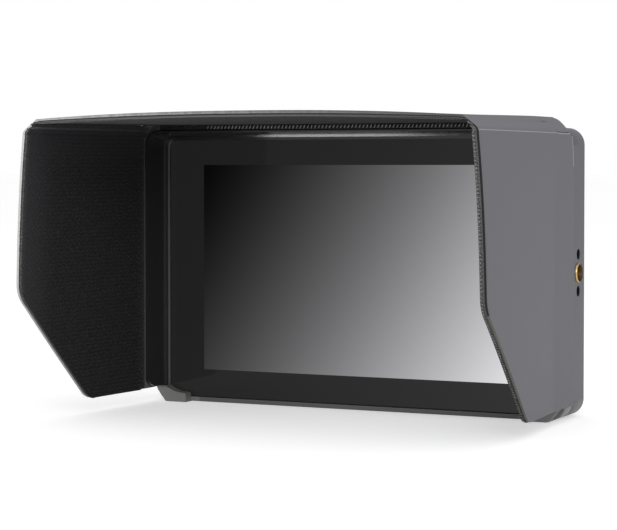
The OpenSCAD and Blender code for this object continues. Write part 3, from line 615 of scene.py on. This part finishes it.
def makeStrip(side, word):
    outer, inner = [], []
    for y in rowsFrom(hood["flapY"], hood["frontY"], 30):
        end = slopeAt(hood["tabEnd"], y)
        reach = end + (0.1 if y > -43 else 0)
        outer.append([slopePoint(side, along, y) for along in rowsFrom(hood["creaseRound"], reach, 6)])
        # the lining reaches in under the top, so no gap shows inside the corner
        line = [slopePoint(side, along, y, hood["tabThickness"]) for along in rowsFrom(2.9, end - 0.6, 5)]
        line.append(slopePoint(side, end + (0.25 if y < -38 else -0.2), y, 0.65))
        inner.append(line)

    def rim(row, column):
        if row == 30 and 0 < column < 6:
            return [(depth * 0.42, swell * 0.8, 1 if side < 0 else mark) for depth, swell, mark in (wrappedEdge if side < 0 else blackEdge)]
        # the upper edge is lined, since it's seen from inside the hood
        return [(depth * 0.25, 0, 4 if column == 6 else mark) for depth, swell, mark in plainEdge]
    strip = layeredPiece(word + "Strip", outer, inner, panelFinishes, rim)
    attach(strip, word + "_tab")
    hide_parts(word + "_tab")


def rounding(side, y):
    # the rounded crease between a flap and its strip, outside and inside
    low = hood["creaseZ"] - hood["creaseRound"]
    start, end = flapPoint(side, y, low), slopePoint(side, hood["creaseRound"], y)
    middle = slopePoint(side, 0, y)
    startIn, endIn = flapPoint(side, y, low, hood["thickness"]), slopePoint(side, 2.9, y, hood["tabThickness"])
    middleIn = Vector((startIn.x, y * mm, endIn.z - (endIn.z - startIn.z) * 0.35))
    outside, inside = [], []
    for step in range(9):
        share = step / 8
        for line, first, between, last in ((outside, start, middle, end), (inside, startIn, middleIn, endIn)):
            line.append(first * (1 - share) ** 2 + between * 2 * share * (1 - share) + last * share ** 2)
    return outside, inside


def makeCrease(side, word):
    outer, inner = [], []
    for y in rowsFrom(hood["flapY"], hood["frontY"], 30):
        outside, inside = rounding(side, y)
        outer.append(outside)
        inner.append(inside)

    def rim(row, column):
        if row == 30:
            return [(depth * 0.85, swell, mark) for depth, swell, mark in (wrappedEdge if side < 0 else blackEdge)]
        return [(depth * 0.5, 0, mark) for depth, swell, mark in plainEdge]
    crease = layeredPiece(word + "Crease", outer, inner, panelFinishes[:4] + ["creaseHighlight", "velour"], rim,
                          lambda row, column: 4 if column == 2 else 0)
    end = slopePoint(side, hood["creaseRound"], -80)
    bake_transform(crease)


def sinkEnds(start, end, over=0.5):
    # rows across a hinge, with both ends tucked under the neighbours
    return [(start + over, 0.2), (start + 0.04, 0.2), (start, 0)] + [
        (start + (end - start) * step / 6, 0) for step in range(1, 6)] + [(end, 0), (end - 0.04, 0.2), (end - over, 0.2)]


def makeHingeSkins(side, word):
    # between the fixed band and the flap, over the vertical hinge
    heights = rowsFrom(hood["lowZ"], hood["creaseZ"] - hood["creaseRound"], 30)
    outer, inner = [], []
    for y, sunk in sinkEnds(hood["bandY"], hood["flapY"]):
        outer.append([flapPoint(side, y, z, sunk) for z in heights])
        inner.append([flapPoint(side, y, z, 0.9) for z in heights])
    wall = layeredPiece(word + "HingeSkin", outer, inner, ["hoodSkin", "velour"])
    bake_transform(wall)
    # and over the sloped strip
    outer, inner = [], []
    for y, sunk in sinkEnds(hood["stripY"], hood["flapY"]):
        outside = rounding(side, y)[0][:-1]
        outside += [slopePoint(side, along, y) for along in rowsFrom(hood["creaseRound"], slopeAt(hood["tabEnd"], y) + 0.1, 5)]
        shift = Vector((-side * 0.75, 0, -0.66)) * mm
        outer.append([point + shift * sunk for point in outside])
        inner.append([point + shift * 0.9 for point in outside])
    strip = layeredPiece(word + "StripSkin", outer, inner, ["hoodSkin", "creaseHighlight", "velour"],
                         outerFinish=lambda row, column: 1 if column == 2 and row > 0 else 0)
    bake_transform(strip)


for side, word in ((-1, "left"), (1, "right")):
    makeStrip(side, word)
    makeCrease(side, word)
    makeHingeSkins(side, word)
print("strips and creases made")

# linings that cross the hinges inside the hood
liningRoutes = {
    "side": [(98.95, -31.15), (98.6, -31.6), (98.25, -32.4), (98.08, -33.6), (98.0, -35.0), (97.97, -36.3), (97.95, -37.0)],
    "top": [(-31.25, 127.75), (-32.5, 127.55), (-35, 127.4), (-38, 127.3), (-40.6, 127.2), (-41.4, 127.12), (-42.1, 127.08), (-43, 127.04)],
}


def topLine(y, sunk):
    # one line over the top, from lower edge to lower edge, sunk under the skin
    low = slopePoint(1, slopeAt(hood["underHalf"], y), y).z / mm + 0.02
    right = [(hood["topHalf"] - 0.55 * sunk, hood["topZ"] - sunk), (hood["underHalf"] - sunk, low)]
    across = [(x, hood["topZ"] - sunk) for x in rowsFrom(-94, 94, 36)]
    return [Vector((x, y, z)) * mm for x, z in [(-x, z) for x, z in right[::-1]] + across + right]


# sections (half width, height) of two narrow fixed strips beside the top, with their start and end
topSeams = {
    "Corner": {"from": -33.9, "to": -40.35, "outer": [(96.84, 127.12), (96.25, 127.78), (95.7, 128.4)],
               "inner": [(95.94, 127.12), (95.6, 127.5), (95.2, 127.95)],
               "outerTip": [(96.28, 127.78), (95.98, 128.1), (95.7, 128.4)],
               "innerTip": [(95.6, 127.78), (95.4, 127.86), (95.2, 127.95)]},
    "Seam": {"from": -22.25, "to": -34.3, "outer": [(95.16, 128.98), (95.0, 129.16), (94.84, 129.34)],
             "inner": [(94.7, 128.6), (94.55, 128.75), (94.4, 128.9)]},
}


def makeTopSeams(side, word):
    for name, seam in topSeams.items():
        lines = []
        for layer in ("outer", "inner"):
            sections = [seam[layer]] * 4 + [seam.get(layer + "Tip", seam[layer])]
            lines.append([[Vector((side * x, y, z)) * mm for x, z in section]
                          for y, section in zip(rowsFrom(seam["from"], seam["to"], 4), sections)])
        # skin outside, lining on the edges that can be seen from inside the hood
        piece = layeredPiece(word + "Top" + name, lines[0], lines[1], ["hoodSkin", "velour"], lambda row, column: [(0.02, 0, 1)])
        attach(piece, "hood")


def makeLiningSeams():
    for side, word in ((-1, "left"), (1, "right")):
        heights = rowsFrom(hood["lowZ"] + 0.5, hood["creaseZ"] - hood["creaseRound"] + 0.3, 24)
        outer = [[Vector((side * x, y, z)) * mm for z in heights] for x, y in liningRoutes["side"]]
        inner = [[Vector((side * (x + 0.5), y, z)) * mm for z in heights] for x, y in liningRoutes["side"]]
        piece = layeredPiece(word + "HingeLining", outer, inner, ["velour"])
        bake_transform(piece)
        # the corner lining under the strip
        outer, inner = [], []
        for y in rowsFrom(-31.2, hood["flapY"] - 1.2, 8):
            inside = rounding(side, y)[1]
            inside += [slopePoint(side, along, y, hood["tabThickness"]) for along in rowsFrom(3.6, slopeAt(hood["tabEnd"], y) - 0.7, 3)]
            inside.append(Vector((side * 95.4, y, 127.3)) * mm)
            inset = Vector((-side * 0.06, 0, -0.05)) * mm
            outer.append([point + inset for point in inside])
            inner.append([point - inset * 8 for point in inside])
        corner = layeredPiece(word + "CornerLining", outer, inner, ["velour"])
        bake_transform(corner)
    outer, inner = [], []
    for y, z in liningRoutes["top"]:
        # as wide as the bevels beside it let it be
        half = hood["underHalf"] - 0.6 - (z - 127.1) * 0.89
        outer.append([Vector((x, y, z)) * mm for x in rowsFrom(-half, half, 40)])
        inner.append([Vector((x, y, z + 0.15)) * mm for x in rowsFrom(-half, half, 40)])
    piece = layeredPiece("topHingeLining", outer, inner, ["topVelour"])
    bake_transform(piece)
    outer, inner = [], []
    for y, sunk in sinkEnds(-40.3, hood["topY"]):
        outer.append(topLine(y, sunk))
        inner.append(topLine(y, 0.9))
    skin = layeredPiece("topHingeSkin", outer, inner, ["hoodSkin", "topVelour"], lambda row, column: [(0.02, 0, 1)])
    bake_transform(skin)


makeLiningSeams()
for side, word in ((-1, "left"), (1, "right")):
    makeTopSeams(side, word)
print("hinge linings made")

bandEdge = {"stripEnd": -16.0, "proud": 0.07}


def makeBandTrim(side, word):
    # painted highlights: a light line along the crease of the fixed band, and a raised hairline along its rear edge
    # painted pale as a highlight
    outer, inner = [], []
    for y in rowsFrom(hood["stripY"], bandEdge["stripEnd"], 12):
        line = [Vector((side * 100.29, y, 122.15)), Vector((side * 100.34, y, 122.4)), Vector((side * 100.29, y, 122.7))]
        outer.append([point * mm for point in line])
        inner.append([(point - Vector((side * 0.3, 0, 0))) * mm for point in line])
    crease = layeredPiece(word + "BandCrease", outer, inner, ["creaseHighlight"])
    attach(crease, "hood")
    outer, inner = [], []
    for y, z in ((-13.3, 121.4), (-12.4, 119.4), (-11.8, 116), (-11.3, 112), (-11.0, 108.6)):
        line = [Vector((side * 100.28, y - 0.35, z)), Vector((side * (100.3 + bandEdge["proud"]), y - 0.1, z)),
                Vector((side * (100.3 + bandEdge["proud"]), y + 0.15, z)), Vector((side * 100.28, y + 0.35, z))]
        outer.append([point * mm for point in line])
        inner.append([(point - Vector((side * 0.3, 0, 0))) * mm for point in line])
    hairline = layeredPiece(word + "BandHairline", outer, inner, ["litSkinWrap"])
    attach(hairline, "hood")


for side, word in ((-1, "left"), (1, "right")):
    makeBandTrim(side, word)
print("band trim made")

glass = {
    "edge": 0.25, "corner": 3.7, "windowLow": 15.0, "windowHigh": 109.2, "windowHalf": 75.4,
    "surface": {"Roughness": 0.06, "Specular IOR Level": 0.0, "Emission Strength": 1.0},
    "border": {"Roughness": 0.05, "Specular IOR Level": 0.06, "Emission Strength": 1.0, "Base Color": (0.002, 0.002, 0.002, 1)},
}
shared = {"left": -0.0754, "right": 0.0754, "top": 0.1092, "bottom": 0.015, "acrossShare": 0.71, "start": 0.12}
finishes["litPicture"] = glowingGradientFinish("litPicture", dict(
    shared, power=2.89, peak=0.544, dark=(0, 0, 0, 1), light=(1, 1, 1.03, 1), into="Emission Color",
    surface=dict(glass["surface"], **{"Base Color": (0.002, 0.002, 0.002, 1)})))
# painted reflection: the black print round the picture glows dark grey, lighter towards the bottom right, in place of
# its reflection of the bright floor
finishes["blackPrintAndReflection"] = glowingGradientFinish("blackPrintAndReflection", dict(
    shared, power=1.8, peak=0.75, dark=tone(29, 29, 29), light=tone(48, 48, 48), into="Emission Color", surface=glass["border"]))


def roundedRing(halfX, lowZ, highZ, radius, count=8):
    ring = []
    for centreX, centreZ, start in ((halfX - radius, highZ - radius, 0), (-halfX + radius, highZ - radius, 90),
                                    (-halfX + radius, lowZ + radius, 180), (halfX - radius, lowZ + radius, 270)):
        for step in range(count + 1):
            angle = math.radians(start + 90 * step / count)
            ring.append((centreX + radius * math.cos(angle), centreZ + radius * math.sin(angle)))
    return ring


def makeGlass():
    low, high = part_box("cover_glass")
    front, back = low.y / mm, high.y / mm
    half, bottom, upper = high.x / mm, low.z / mm, high.z / mm
    edge = glass["edge"]
    points = []

    def ring(inset, y):
        start = len(points)
        for x, z in roundedRing(half - inset, bottom + inset, upper - inset, glass["corner"] - inset):
            points.append(Vector((x, y, z)) * mm)
        return start, len(points) - start

    window = len(points)
    for x, z in ((1, 1), (-1, 1), (-1, 0), (1, 0)):
        points.append(Vector((x * glass["windowHalf"], front, glass["windowHigh"] if z else glass["windowLow"])) * mm)
    face, count = ring(edge, front)
    rim, count = ring(0, front + edge)
    foot, count = ring(0, back)
    faces, marks = [[window, window + 1, window + 2, window + 3]], [1]
    arc = count // 4
    for corner in range(4):
        for step in range(arc - 1):
            first = face + corner * arc + step
            faces.append([window + corner, first, first + 1])
            marks.append(0)
        last, following = face + corner * arc + arc - 1, face + ((corner + 1) % 4) * arc
        faces.append([window + corner, last, following, window + (corner + 1) % 4])
        marks.append(0)
    for outer, inner in ((face, rim), (rim, foot)):
        for step in range(count):
            after = (step + 1) % count
            faces.append([outer + step, inner + step, inner + after, outer + after])
            marks.append(2)
    faces.append([foot + step for step in range(count)])
    marks.append(0)
    return meshPiece("glassPlate", points, faces, marks, ["blackPrintAndReflection", "litPicture", "blackTape"], smooth=30)


plate = makeGlass()
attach(plate, "monitor")
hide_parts("cover_glass")
print("glass made")


def stitchTree():
    # lays one thread on the route every pitch: its width lies across the route, turned by the tilt
    tree = bpy.data.node_groups.new("stitchRow", "GeometryNodeTree")
    sockets = {}
    for word, kind in (("Row", "Geometry"), ("Pitch", "Float"), ("Thread size", "Vector"), ("Tilt", "Float"),
                       ("Across", "Vector"), ("Wander", "Float"), ("Thread finish", "Material")):
        sockets[word] = tree.interface.new_socket(name=word, in_out="INPUT", socket_type="NodeSocket" + kind).identifier
    tree.interface.new_socket(name="Stitches", in_out="OUTPUT", socket_type="NodeSocketGeometry")
    source = addNode(tree, "NodeGroupInput")
    curve = addNode(tree, "GeometryNodeMeshToCurve")
    spaced = addNode(tree, "GeometryNodeResampleCurve", mode="LENGTH")
    bead = addNode(tree, "GeometryNodeMeshUVSphere", {"Segments": 6, "Rings": 4, "Radius": 0.5})
    shaped = addNode(tree, "GeometryNodeTransform")
    placed = addNode(tree, "GeometryNodeInstanceOnPoints")
    tangent = addNode(tree, "GeometryNodeInputTangent")
    across = addNode(tree, "FunctionNodeAlignRotationToVector", axis="Y")
    along = addNode(tree, "FunctionNodeAlignRotationToVector", axis="X", pivot_axis="Y")
    chance = addNode(tree, "FunctionNodeRandomValue", {"Seed": 7}, data_type="FLOAT")
    lowest = addNode(tree, "ShaderNodeMath", operation="SUBTRACT")
    highest = addNode(tree, "ShaderNodeMath", operation="ADD")
    angles = addNode(tree, "ShaderNodeCombineXYZ")
    turn = addNode(tree, "FunctionNodeEulerToRotation")
    turned = addNode(tree, "FunctionNodeRotateRotation", rotation_space="LOCAL")
    real = addNode(tree, "GeometryNodeRealizeInstances")
    coloured = addNode(tree, "GeometryNodeSetMaterial")
    target = addNode(tree, "NodeGroupOutput")
    for start, output, end, entry in (
        (source, "Row", curve, "Mesh"), (curve, "Curve", spaced, "Curve"), (source, "Pitch", spaced, "Length"),
        (bead, "Mesh", shaped, "Geometry"), (source, "Thread size", shaped, "Scale"),
        (source, "Across", across, "Vector"), (across, "Rotation", along, "Rotation"),
        (tangent, "Tangent", along, "Vector"), (source, "Tilt", lowest, 0), (source, "Wander", lowest, 1),
        (source, "Tilt", highest, 0), (source, "Wander", highest, 1), (angles, 0, turn, 0),
        (along, "Rotation", turned, "Rotation"), (turn, 0, turned, "Rotate By"),
        (spaced, "Curve", placed, "Points"), (shaped, "Geometry", placed, "Instance"),
        (turned, "Rotation", placed, "Rotation"), (placed, "Instances", real, "Geometry"),
        (real, "Geometry", coloured, "Geometry"), (source, "Thread finish", coloured, "Material"),
        (coloured, "Geometry", target, 0),
    ):
        join(tree, start, output, end, entry)
    for word, node in (("Min", lowest), ("Max", highest)):
        tree.links.new(node.outputs[0], [entry for entry in chance.inputs if entry.enabled and entry.name == word][0])
    tree.links.new([entry for entry in chance.outputs if entry.enabled][0], angles.inputs["Z"])
    return tree, sockets


stitchNodes, stitchSockets = stitchTree()


def stitchPiece(name, body, route, settings):
    mesh = bpy.data.meshes.new(name + "Route")
    mesh.from_pydata([tuple(point) for point in route], [(step, step + 1) for step in range(len(route) - 1)], [])
    carrier = bpy.data.objects.new(name + "Route", mesh)
    bpy.context.scene.collection.objects.link(carrier)
    modifier = carrier.modifiers.new("stitches", "NODES")
    modifier.node_group = stitchNodes
    for word, value in (("Pitch", settings["pitch"] * mm), ("Thread size", [part * mm for part in settings["size"]]),
                        ("Tilt", math.radians(settings["tilt"])), ("Across", settings["across"]),
                        ("Wander", math.radians(settings["wander"])), ("Thread finish", finishes[settings["finish"]])):
        modifier[stitchSockets[word]] = value
    bpy.context.view_layer.update()
    graph = bpy.context.evaluated_depsgraph_get()
    made = bpy.data.meshes.new_from_object(carrier.evaluated_get(graph))
    made.name = name
    bpy.data.objects.remove(carrier)
    made.shade_smooth()
    piece = bpy.data.objects.new(name, made)
    bpy.context.scene.collection.objects.link(piece)
    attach(piece, body)


# size: along the row, across it and thick, in millimetres
stitchRows = {
    "frame": {"pitch": 1.78, "size": (0.5, 1.8, 0.28), "tilt": -28, "wander": 9, "across": (0, 0, 1), "finish": "greyThread"},
    "topFront": {"pitch": 1.06, "size": (0.52, 1.1, 0.3), "tilt": -25, "wander": 12, "across": (0, 0, 1), "finish": "darkThread"},
    "topUnder": {"pitch": 1.31, "size": (0.34, 1.5, 0.3), "tilt": -20, "wander": 25, "across": (0, 1, 0), "finish": "greyThread"},
    "edgeDark": {"pitch": 1.31, "size": (0.56, 1.8, 0.4), "tilt": 25, "wander": 70, "across": (1, 0, 0), "finish": "darkThread"},
    "edgeGrey": {"pitch": 1.53, "size": (0.4, 1.2, 0.44), "tilt": 20, "wander": 85, "across": (1, 0, 0), "finish": "greyThread"},
    "hingeRow": {"pitch": 2.5, "size": (1.6, 0.3, 0.26), "tilt": 0, "wander": 4, "across": (0, 1, 0), "finish": "dimThread"},
}


def makeStitches():
    stitchPiece("frameStitches", "hood", [Vector((x, -30.58, 126.15)) * mm for x in rowsFrom(-66, 88, 40)], stitchRows["frame"])
    under = hood["topZ"] - hood["thickness"]
    teeth, binding = [], []
    for x in rowsFrom(-93.5, 93.5, 60):
        rise = topRise(x, hood["frontY"])
        teeth.append(Vector((x, hood["frontY"] - 0.42, under + 0.75 + rise)) * mm)
        binding.append(Vector((x, hood["frontY"] + 0.7, under + 0.02 + max(0, rise) + min(0, rise) * 0.6)) * mm)
    stitchPiece("topTeeth", "hood_top", teeth, stitchRows["topFront"])
    stitchPiece("topBinding", "hood_top", binding, stitchRows["topUnder"])
    for side, word in ((-1, "left"), (1, "right")):
        rows = flapRows()
        for kind, inward in (("edgeDark", 1.9), ("edgeGrey", 2.05)):
            route = []
            for step, z in enumerate(rows[1:], 1):
                y, before = flapFront(z), flapFront(rows[step - 1])
                slant = Vector((rows[step - 1] - z, y - before)).normalized()
                proud = 0.1 + 0.45 * max(0, min(1, (z - hood["kneeZ"] + 8) / 12))
                route.append(flapPoint(side, y, z, inward) + Vector((0, slant.x, slant.y)) * proud * mm)
            settings = dict(stitchRows[kind], finish="dimThread") if side < 0 and kind == "edgeGrey" else stitchRows[kind]
            stitchPiece(word + kind[0].upper() + kind[1:], word + "_flap", route, settings)
        low, high = hood["lowZ"] + 2, hood["creaseZ"] - 3
        near = [flapPoint(side, hood["flapY"] - 1.6, z, hood["thickness"]) for z in rowsFrom(low, high, 30)]
        stitchPiece(word + "HingeStitches", word + "_flap", near, stitchRows["hingeRow"])
        band = [Vector((side * 98.24, -32.4, z)) * mm for z in rowsFrom(low, high, 30)]
        stitchPiece(word + "BandStitches", "hood", band, stitchRows["hingeRow"])


makeStitches()
print("stitches made")

# outlines are (radius, depth) pairs in millimetres, all round the section
thread = {
    "radius": 3.02, "pitch": 1.27, "depth": 0.42, "length": 6.6,
    "sleeve": [(4.35, 8), (4.35, 0.15), (4.2, 0), (3.72, 0), (3.6, 0.12), (3.1, 0.9), (3.1, 7.9), (0, 7.9), (0, 8)],
    "collar": [(4.35, 8), (4.35, 0), (4.28, -0.6), (4.1, -0.78), (3.6, -0.72), (3.15, -0.1), (3.1, 7.9), (0, 7.9), (0, 8)],
    "cup": [(2.34, 5.45), (2.34, 0.25), (2.18, 0.3), (2.15, 5.2), (0, 5.3), (0, 5.45)],
}


def turnedPiece(name, outline, finishNames, litSteps=20, count=40):
    # an outline turned about the Z axis, closed where it meets the axis; the first litSteps steps take the first finish
    # and the rest the second, which is painted shade inside the bore
    points, faces, marks = [], [], []
    rings = []
    for radius, depth in outline:
        if radius == 0:
            rings.append([len(points)] * count)
            points.append(Vector((0, 0, depth)) * mm)
        else:
            rings.append([len(points) + step for step in range(count)])
            points += [Vector((radius * math.cos(2 * math.pi * step / count), radius * math.sin(2 * math.pi * step / count), depth)) * mm
                       for step in range(count)]
    for index in range(len(rings)):
        first, second = rings[index], rings[(index + 1) % len(rings)]
        for step in range(count):
            after = (step + 1) % count
            face = list(dict.fromkeys([first[step], second[step], second[after], first[after]]))
            if len(face) > 2:
                faces.append(face)
                marks.append(0 if index < litSteps else 1)
    return meshPiece(name, points, faces, marks, finishNames, smooth=40)


def threadTree():
    tree = bpy.data.node_groups.new("screwThread", "GeometryNodeTree")
    sockets = {}
    for word, kind in (("Turns", "Float"), ("Radius", "Float"), ("Length", "Float"), ("Ridge", "Float"), ("Finish", "Material")):
        sockets[word] = tree.interface.new_socket(name=word, in_out="INPUT", socket_type="NodeSocket" + kind).identifier
    tree.interface.new_socket(name="Thread", in_out="OUTPUT", socket_type="NodeSocketGeometry")
    source = addNode(tree, "NodeGroupInput")
    spiral = addNode(tree, "GeometryNodeCurveSpiral", {"Resolution": 24})
    ridge = addNode(tree, "GeometryNodeCurvePrimitiveCircle", {"Resolution": 4})
    swept = addNode(tree, "GeometryNodeCurveToMesh", {"Fill Caps": True})
    real = addNode(tree, "GeometryNodeRealizeInstances")
    coloured = addNode(tree, "GeometryNodeSetMaterial")
    target = addNode(tree, "NodeGroupOutput")
    for start, output, end, entry in (
        (source, "Turns", spiral, "Rotations"), (source, "Radius", spiral, "Start Radius"),
        (source, "Radius", spiral, "End Radius"), (source, "Length", spiral, "Height"),
        (source, "Ridge", ridge, "Radius"), (spiral, "Curve", swept, "Curve"), (ridge, "Curve", swept, "Profile Curve"),
        (swept, "Mesh", real, "Geometry"), (real, "Geometry", coloured, "Geometry"),
        (source, "Finish", coloured, "Material"), (coloured, "Geometry", target, 0),
    ):
        join(tree, start, output, end, entry)
    return tree, sockets


def makeThreads():
    tree, sockets = threadTree()
    carrier = bpy.data.objects.new("threadRoute", bpy.data.meshes.new("threadRoute"))
    bpy.context.scene.collection.objects.link(carrier)
    modifier = carrier.modifiers.new("thread", "NODES")
    modifier.node_group = tree
    for word, value in (("Turns", thread["length"] / thread["pitch"]), ("Radius", thread["radius"] * mm),
                        ("Length", thread["length"] * mm), ("Ridge", thread["depth"] * mm), ("Finish", finishes["brassPaintedShade"])):
        modifier[sockets[word]] = value
    bpy.context.view_layer.update()
    graph = bpy.context.evaluated_depsgraph_get()
    one = bpy.data.meshes.new_from_object(carrier.evaluated_get(graph))
    bpy.data.objects.remove(carrier)
    half, middle = 99 * mm, 62.65 * mm
    places = {
        "bottom": Matrix.Identity(4),
        "right": Matrix.Translation((half, 0, middle)) @ Matrix.Rotation(math.radians(-90), 4, "Y"),
        "left": Matrix.Translation((-half, 0, middle)) @ Matrix.Rotation(math.radians(90), 4, "Y"),
    }
    # the side inserts have a rounded collar, the one underneath is flush
    sleeve = turnedPiece("insertSleeve", thread["sleeve"], ["brassTurned", "brassPaintedShade"], litSteps=4)
    collar = turnedPiece("insertCollar", thread["collar"], ["brassTurned", "brassPaintedShade"], litSteps=3)
    # painted shade: black cups line the pin holes, darkening them where shade falls inside
    cup = turnedPiece("pinCup", thread["cup"], ["blackSeamAndShade"])
    for word, place in places.items():
        pieces = [(word + "Thread", one, place @ Matrix.Translation((0, 0, 1.0 * mm)), "brass"),
                  (word + "Insert", (sleeve if word == "bottom" else collar).data, place, "brass")]
        if word != "bottom":
            pieces += [(word + name, cup.data, place @ Matrix.Translation((shift * mm, 0, 0)), "black_plastic")
                       for name, shift in (("PinCupA", 7.95), ("PinCupB", -7.95))]
        for name, source, spot, slot in pieces:
            mesh = source.copy()
            mesh.name = name
            mesh.transform(spot)
            mesh.shade_smooth()
            mesh.set_sharp_from_angle(angle=math.radians(40))
            piece = bpy.data.objects.new(name, mesh)
            bpy.context.scene.collection.objects.link(piece)
            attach(piece, "monitor")
            if name == "bottomInsert":
                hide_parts("thread_inserts")
    bpy.data.objects.remove(sleeve)
    bpy.data.objects.remove(collar)
    bpy.data.objects.remove(cup)


makeThreads()
print("threads made")


def softenEdges(name, width, segments=2):
    # a small round on the edges of a CAD node, as a live modifier
    node = nodes[name]
    weld = node.modifiers.new("weld", "WELD")
    weld.merge_threshold = 0.000002
    bevel = node.modifiers.new("bevel", "BEVEL")
    bevel.width = width * mm
    bevel.segments = segments
    bevel.limit_method = "ANGLE"
    bevel.angle_limit = math.radians(35)
    bevel.harden_normals = False
    bevel.use_clamp_overlap = True


for name, width in (("front_frame", 0.3), ("rear_shell", 0.3), ("hood_frame", 0.22), ("battery_plate", 0.25),
                    ("battery_latch", 0.3), ("left_side_band", 0.15), ("right_side_band", 0.15)):
    softenEdges(name, width)
print("edges softened")

studio = {
    "background": 1.0, "fill": 0.66, "floorGlow": 0.5, "floor": 0.72,
    "lamps": {
        "overhead": {"place": (0.2, -0.6, 1.6), "aim": (0, -0.05, 0.06), "size": (1.4, 1.4), "watts": 6},
        "right": {"place": (1.1, -1.7, 0.9), "aim": (0, -0.05, 0.06), "size": (1.1, 1.1), "watts": 12},
        # a low bright panel at the front left, seen in the gloss of the hood frame
        "lowLeft": {"place": (-0.17, -0.345, 0.004), "aim": (-0.17, -0.345, 1), "size": (0.12, 0.12), "watts": 1.2},
    },
}


def makeStudio():
    world = bpy.data.worlds.new("studio")
    bpy.context.scene.world = world
    world.use_nodes = True
    tree = world.node_tree
    shader = tree.nodes["Background"]
    path = addNode(tree, "ShaderNodeLightPath")
    seen = addNode(tree, "ShaderNodeMath", operation="MAXIMUM")
    join(tree, path, "Is Camera Ray", seen, 0)
    join(tree, path, "Is Transmission Ray", seen, 1)
    level = addNode(tree, "ShaderNodeMapRange", {"To Min": studio["fill"], "To Max": studio["background"]})
    join(tree, seen, 0, level, "Value")
    join(tree, level, "Result", shader, "Strength")
    shader.inputs["Color"].default_value = (1, 1, 1, 1)
    for name, lamp in studio["lamps"].items():
        data = bpy.data.lights.new(name, "AREA")
        data.energy = lamp["watts"]
        data.shape = "RECTANGLE"
        data.size, data.size_y = lamp["size"]
        light = bpy.data.objects.new(name, data)
        light.location = lamp["place"]
        aim = Vector(lamp["aim"]) - Vector(lamp["place"])
        light.rotation_euler = aim.to_track_quat("-Z", "Y").to_euler()
        bpy.context.scene.collection.objects.link(light)
    # the floor glows for the camera and in reflections only, so it lights nothing and keeps the shadow
    material, tree, shader = startMaterial("paleFloor", {
        "Roughness": 0.9, "Specular IOR Level": 0.1, "Base Color": (studio["floor"],) * 3 + (1,), "Emission Color": (1, 1, 1, 1)})
    path = addNode(tree, "ShaderNodeLightPath")
    direct = addNode(tree, "ShaderNodeMath", operation="MAXIMUM")
    either = addNode(tree, "ShaderNodeMath", operation="MAXIMUM")
    glow = addNode(tree, "ShaderNodeMath", {1: studio["floorGlow"]}, operation="MULTIPLY")
    join(tree, path, "Is Camera Ray", direct, 0)
    join(tree, path, "Is Glossy Ray", direct, 1)
    join(tree, direct, 0, either, 0)
    join(tree, path, "Is Transmission Ray", either, 1)
    join(tree, either, 0, glow, 0)
    join(tree, glow, 0, shader, "Emission Strength")
    mesh = bpy.data.meshes.new("floor")
    wide, low = 20, cadLow.z
    mesh.from_pydata([(-wide, -wide, low), (wide, -wide, low), (wide, wide, low), (-wide, wide, low)], [], [[0, 1, 2, 3]])
    mesh.materials.append(material)
    floor = bpy.data.objects.new("floor", mesh)
    bpy.context.scene.collection.objects.link(floor)
    bpy.context.scene.view_settings.view_transform = "Standard"


makeStudio()
print("studio set")
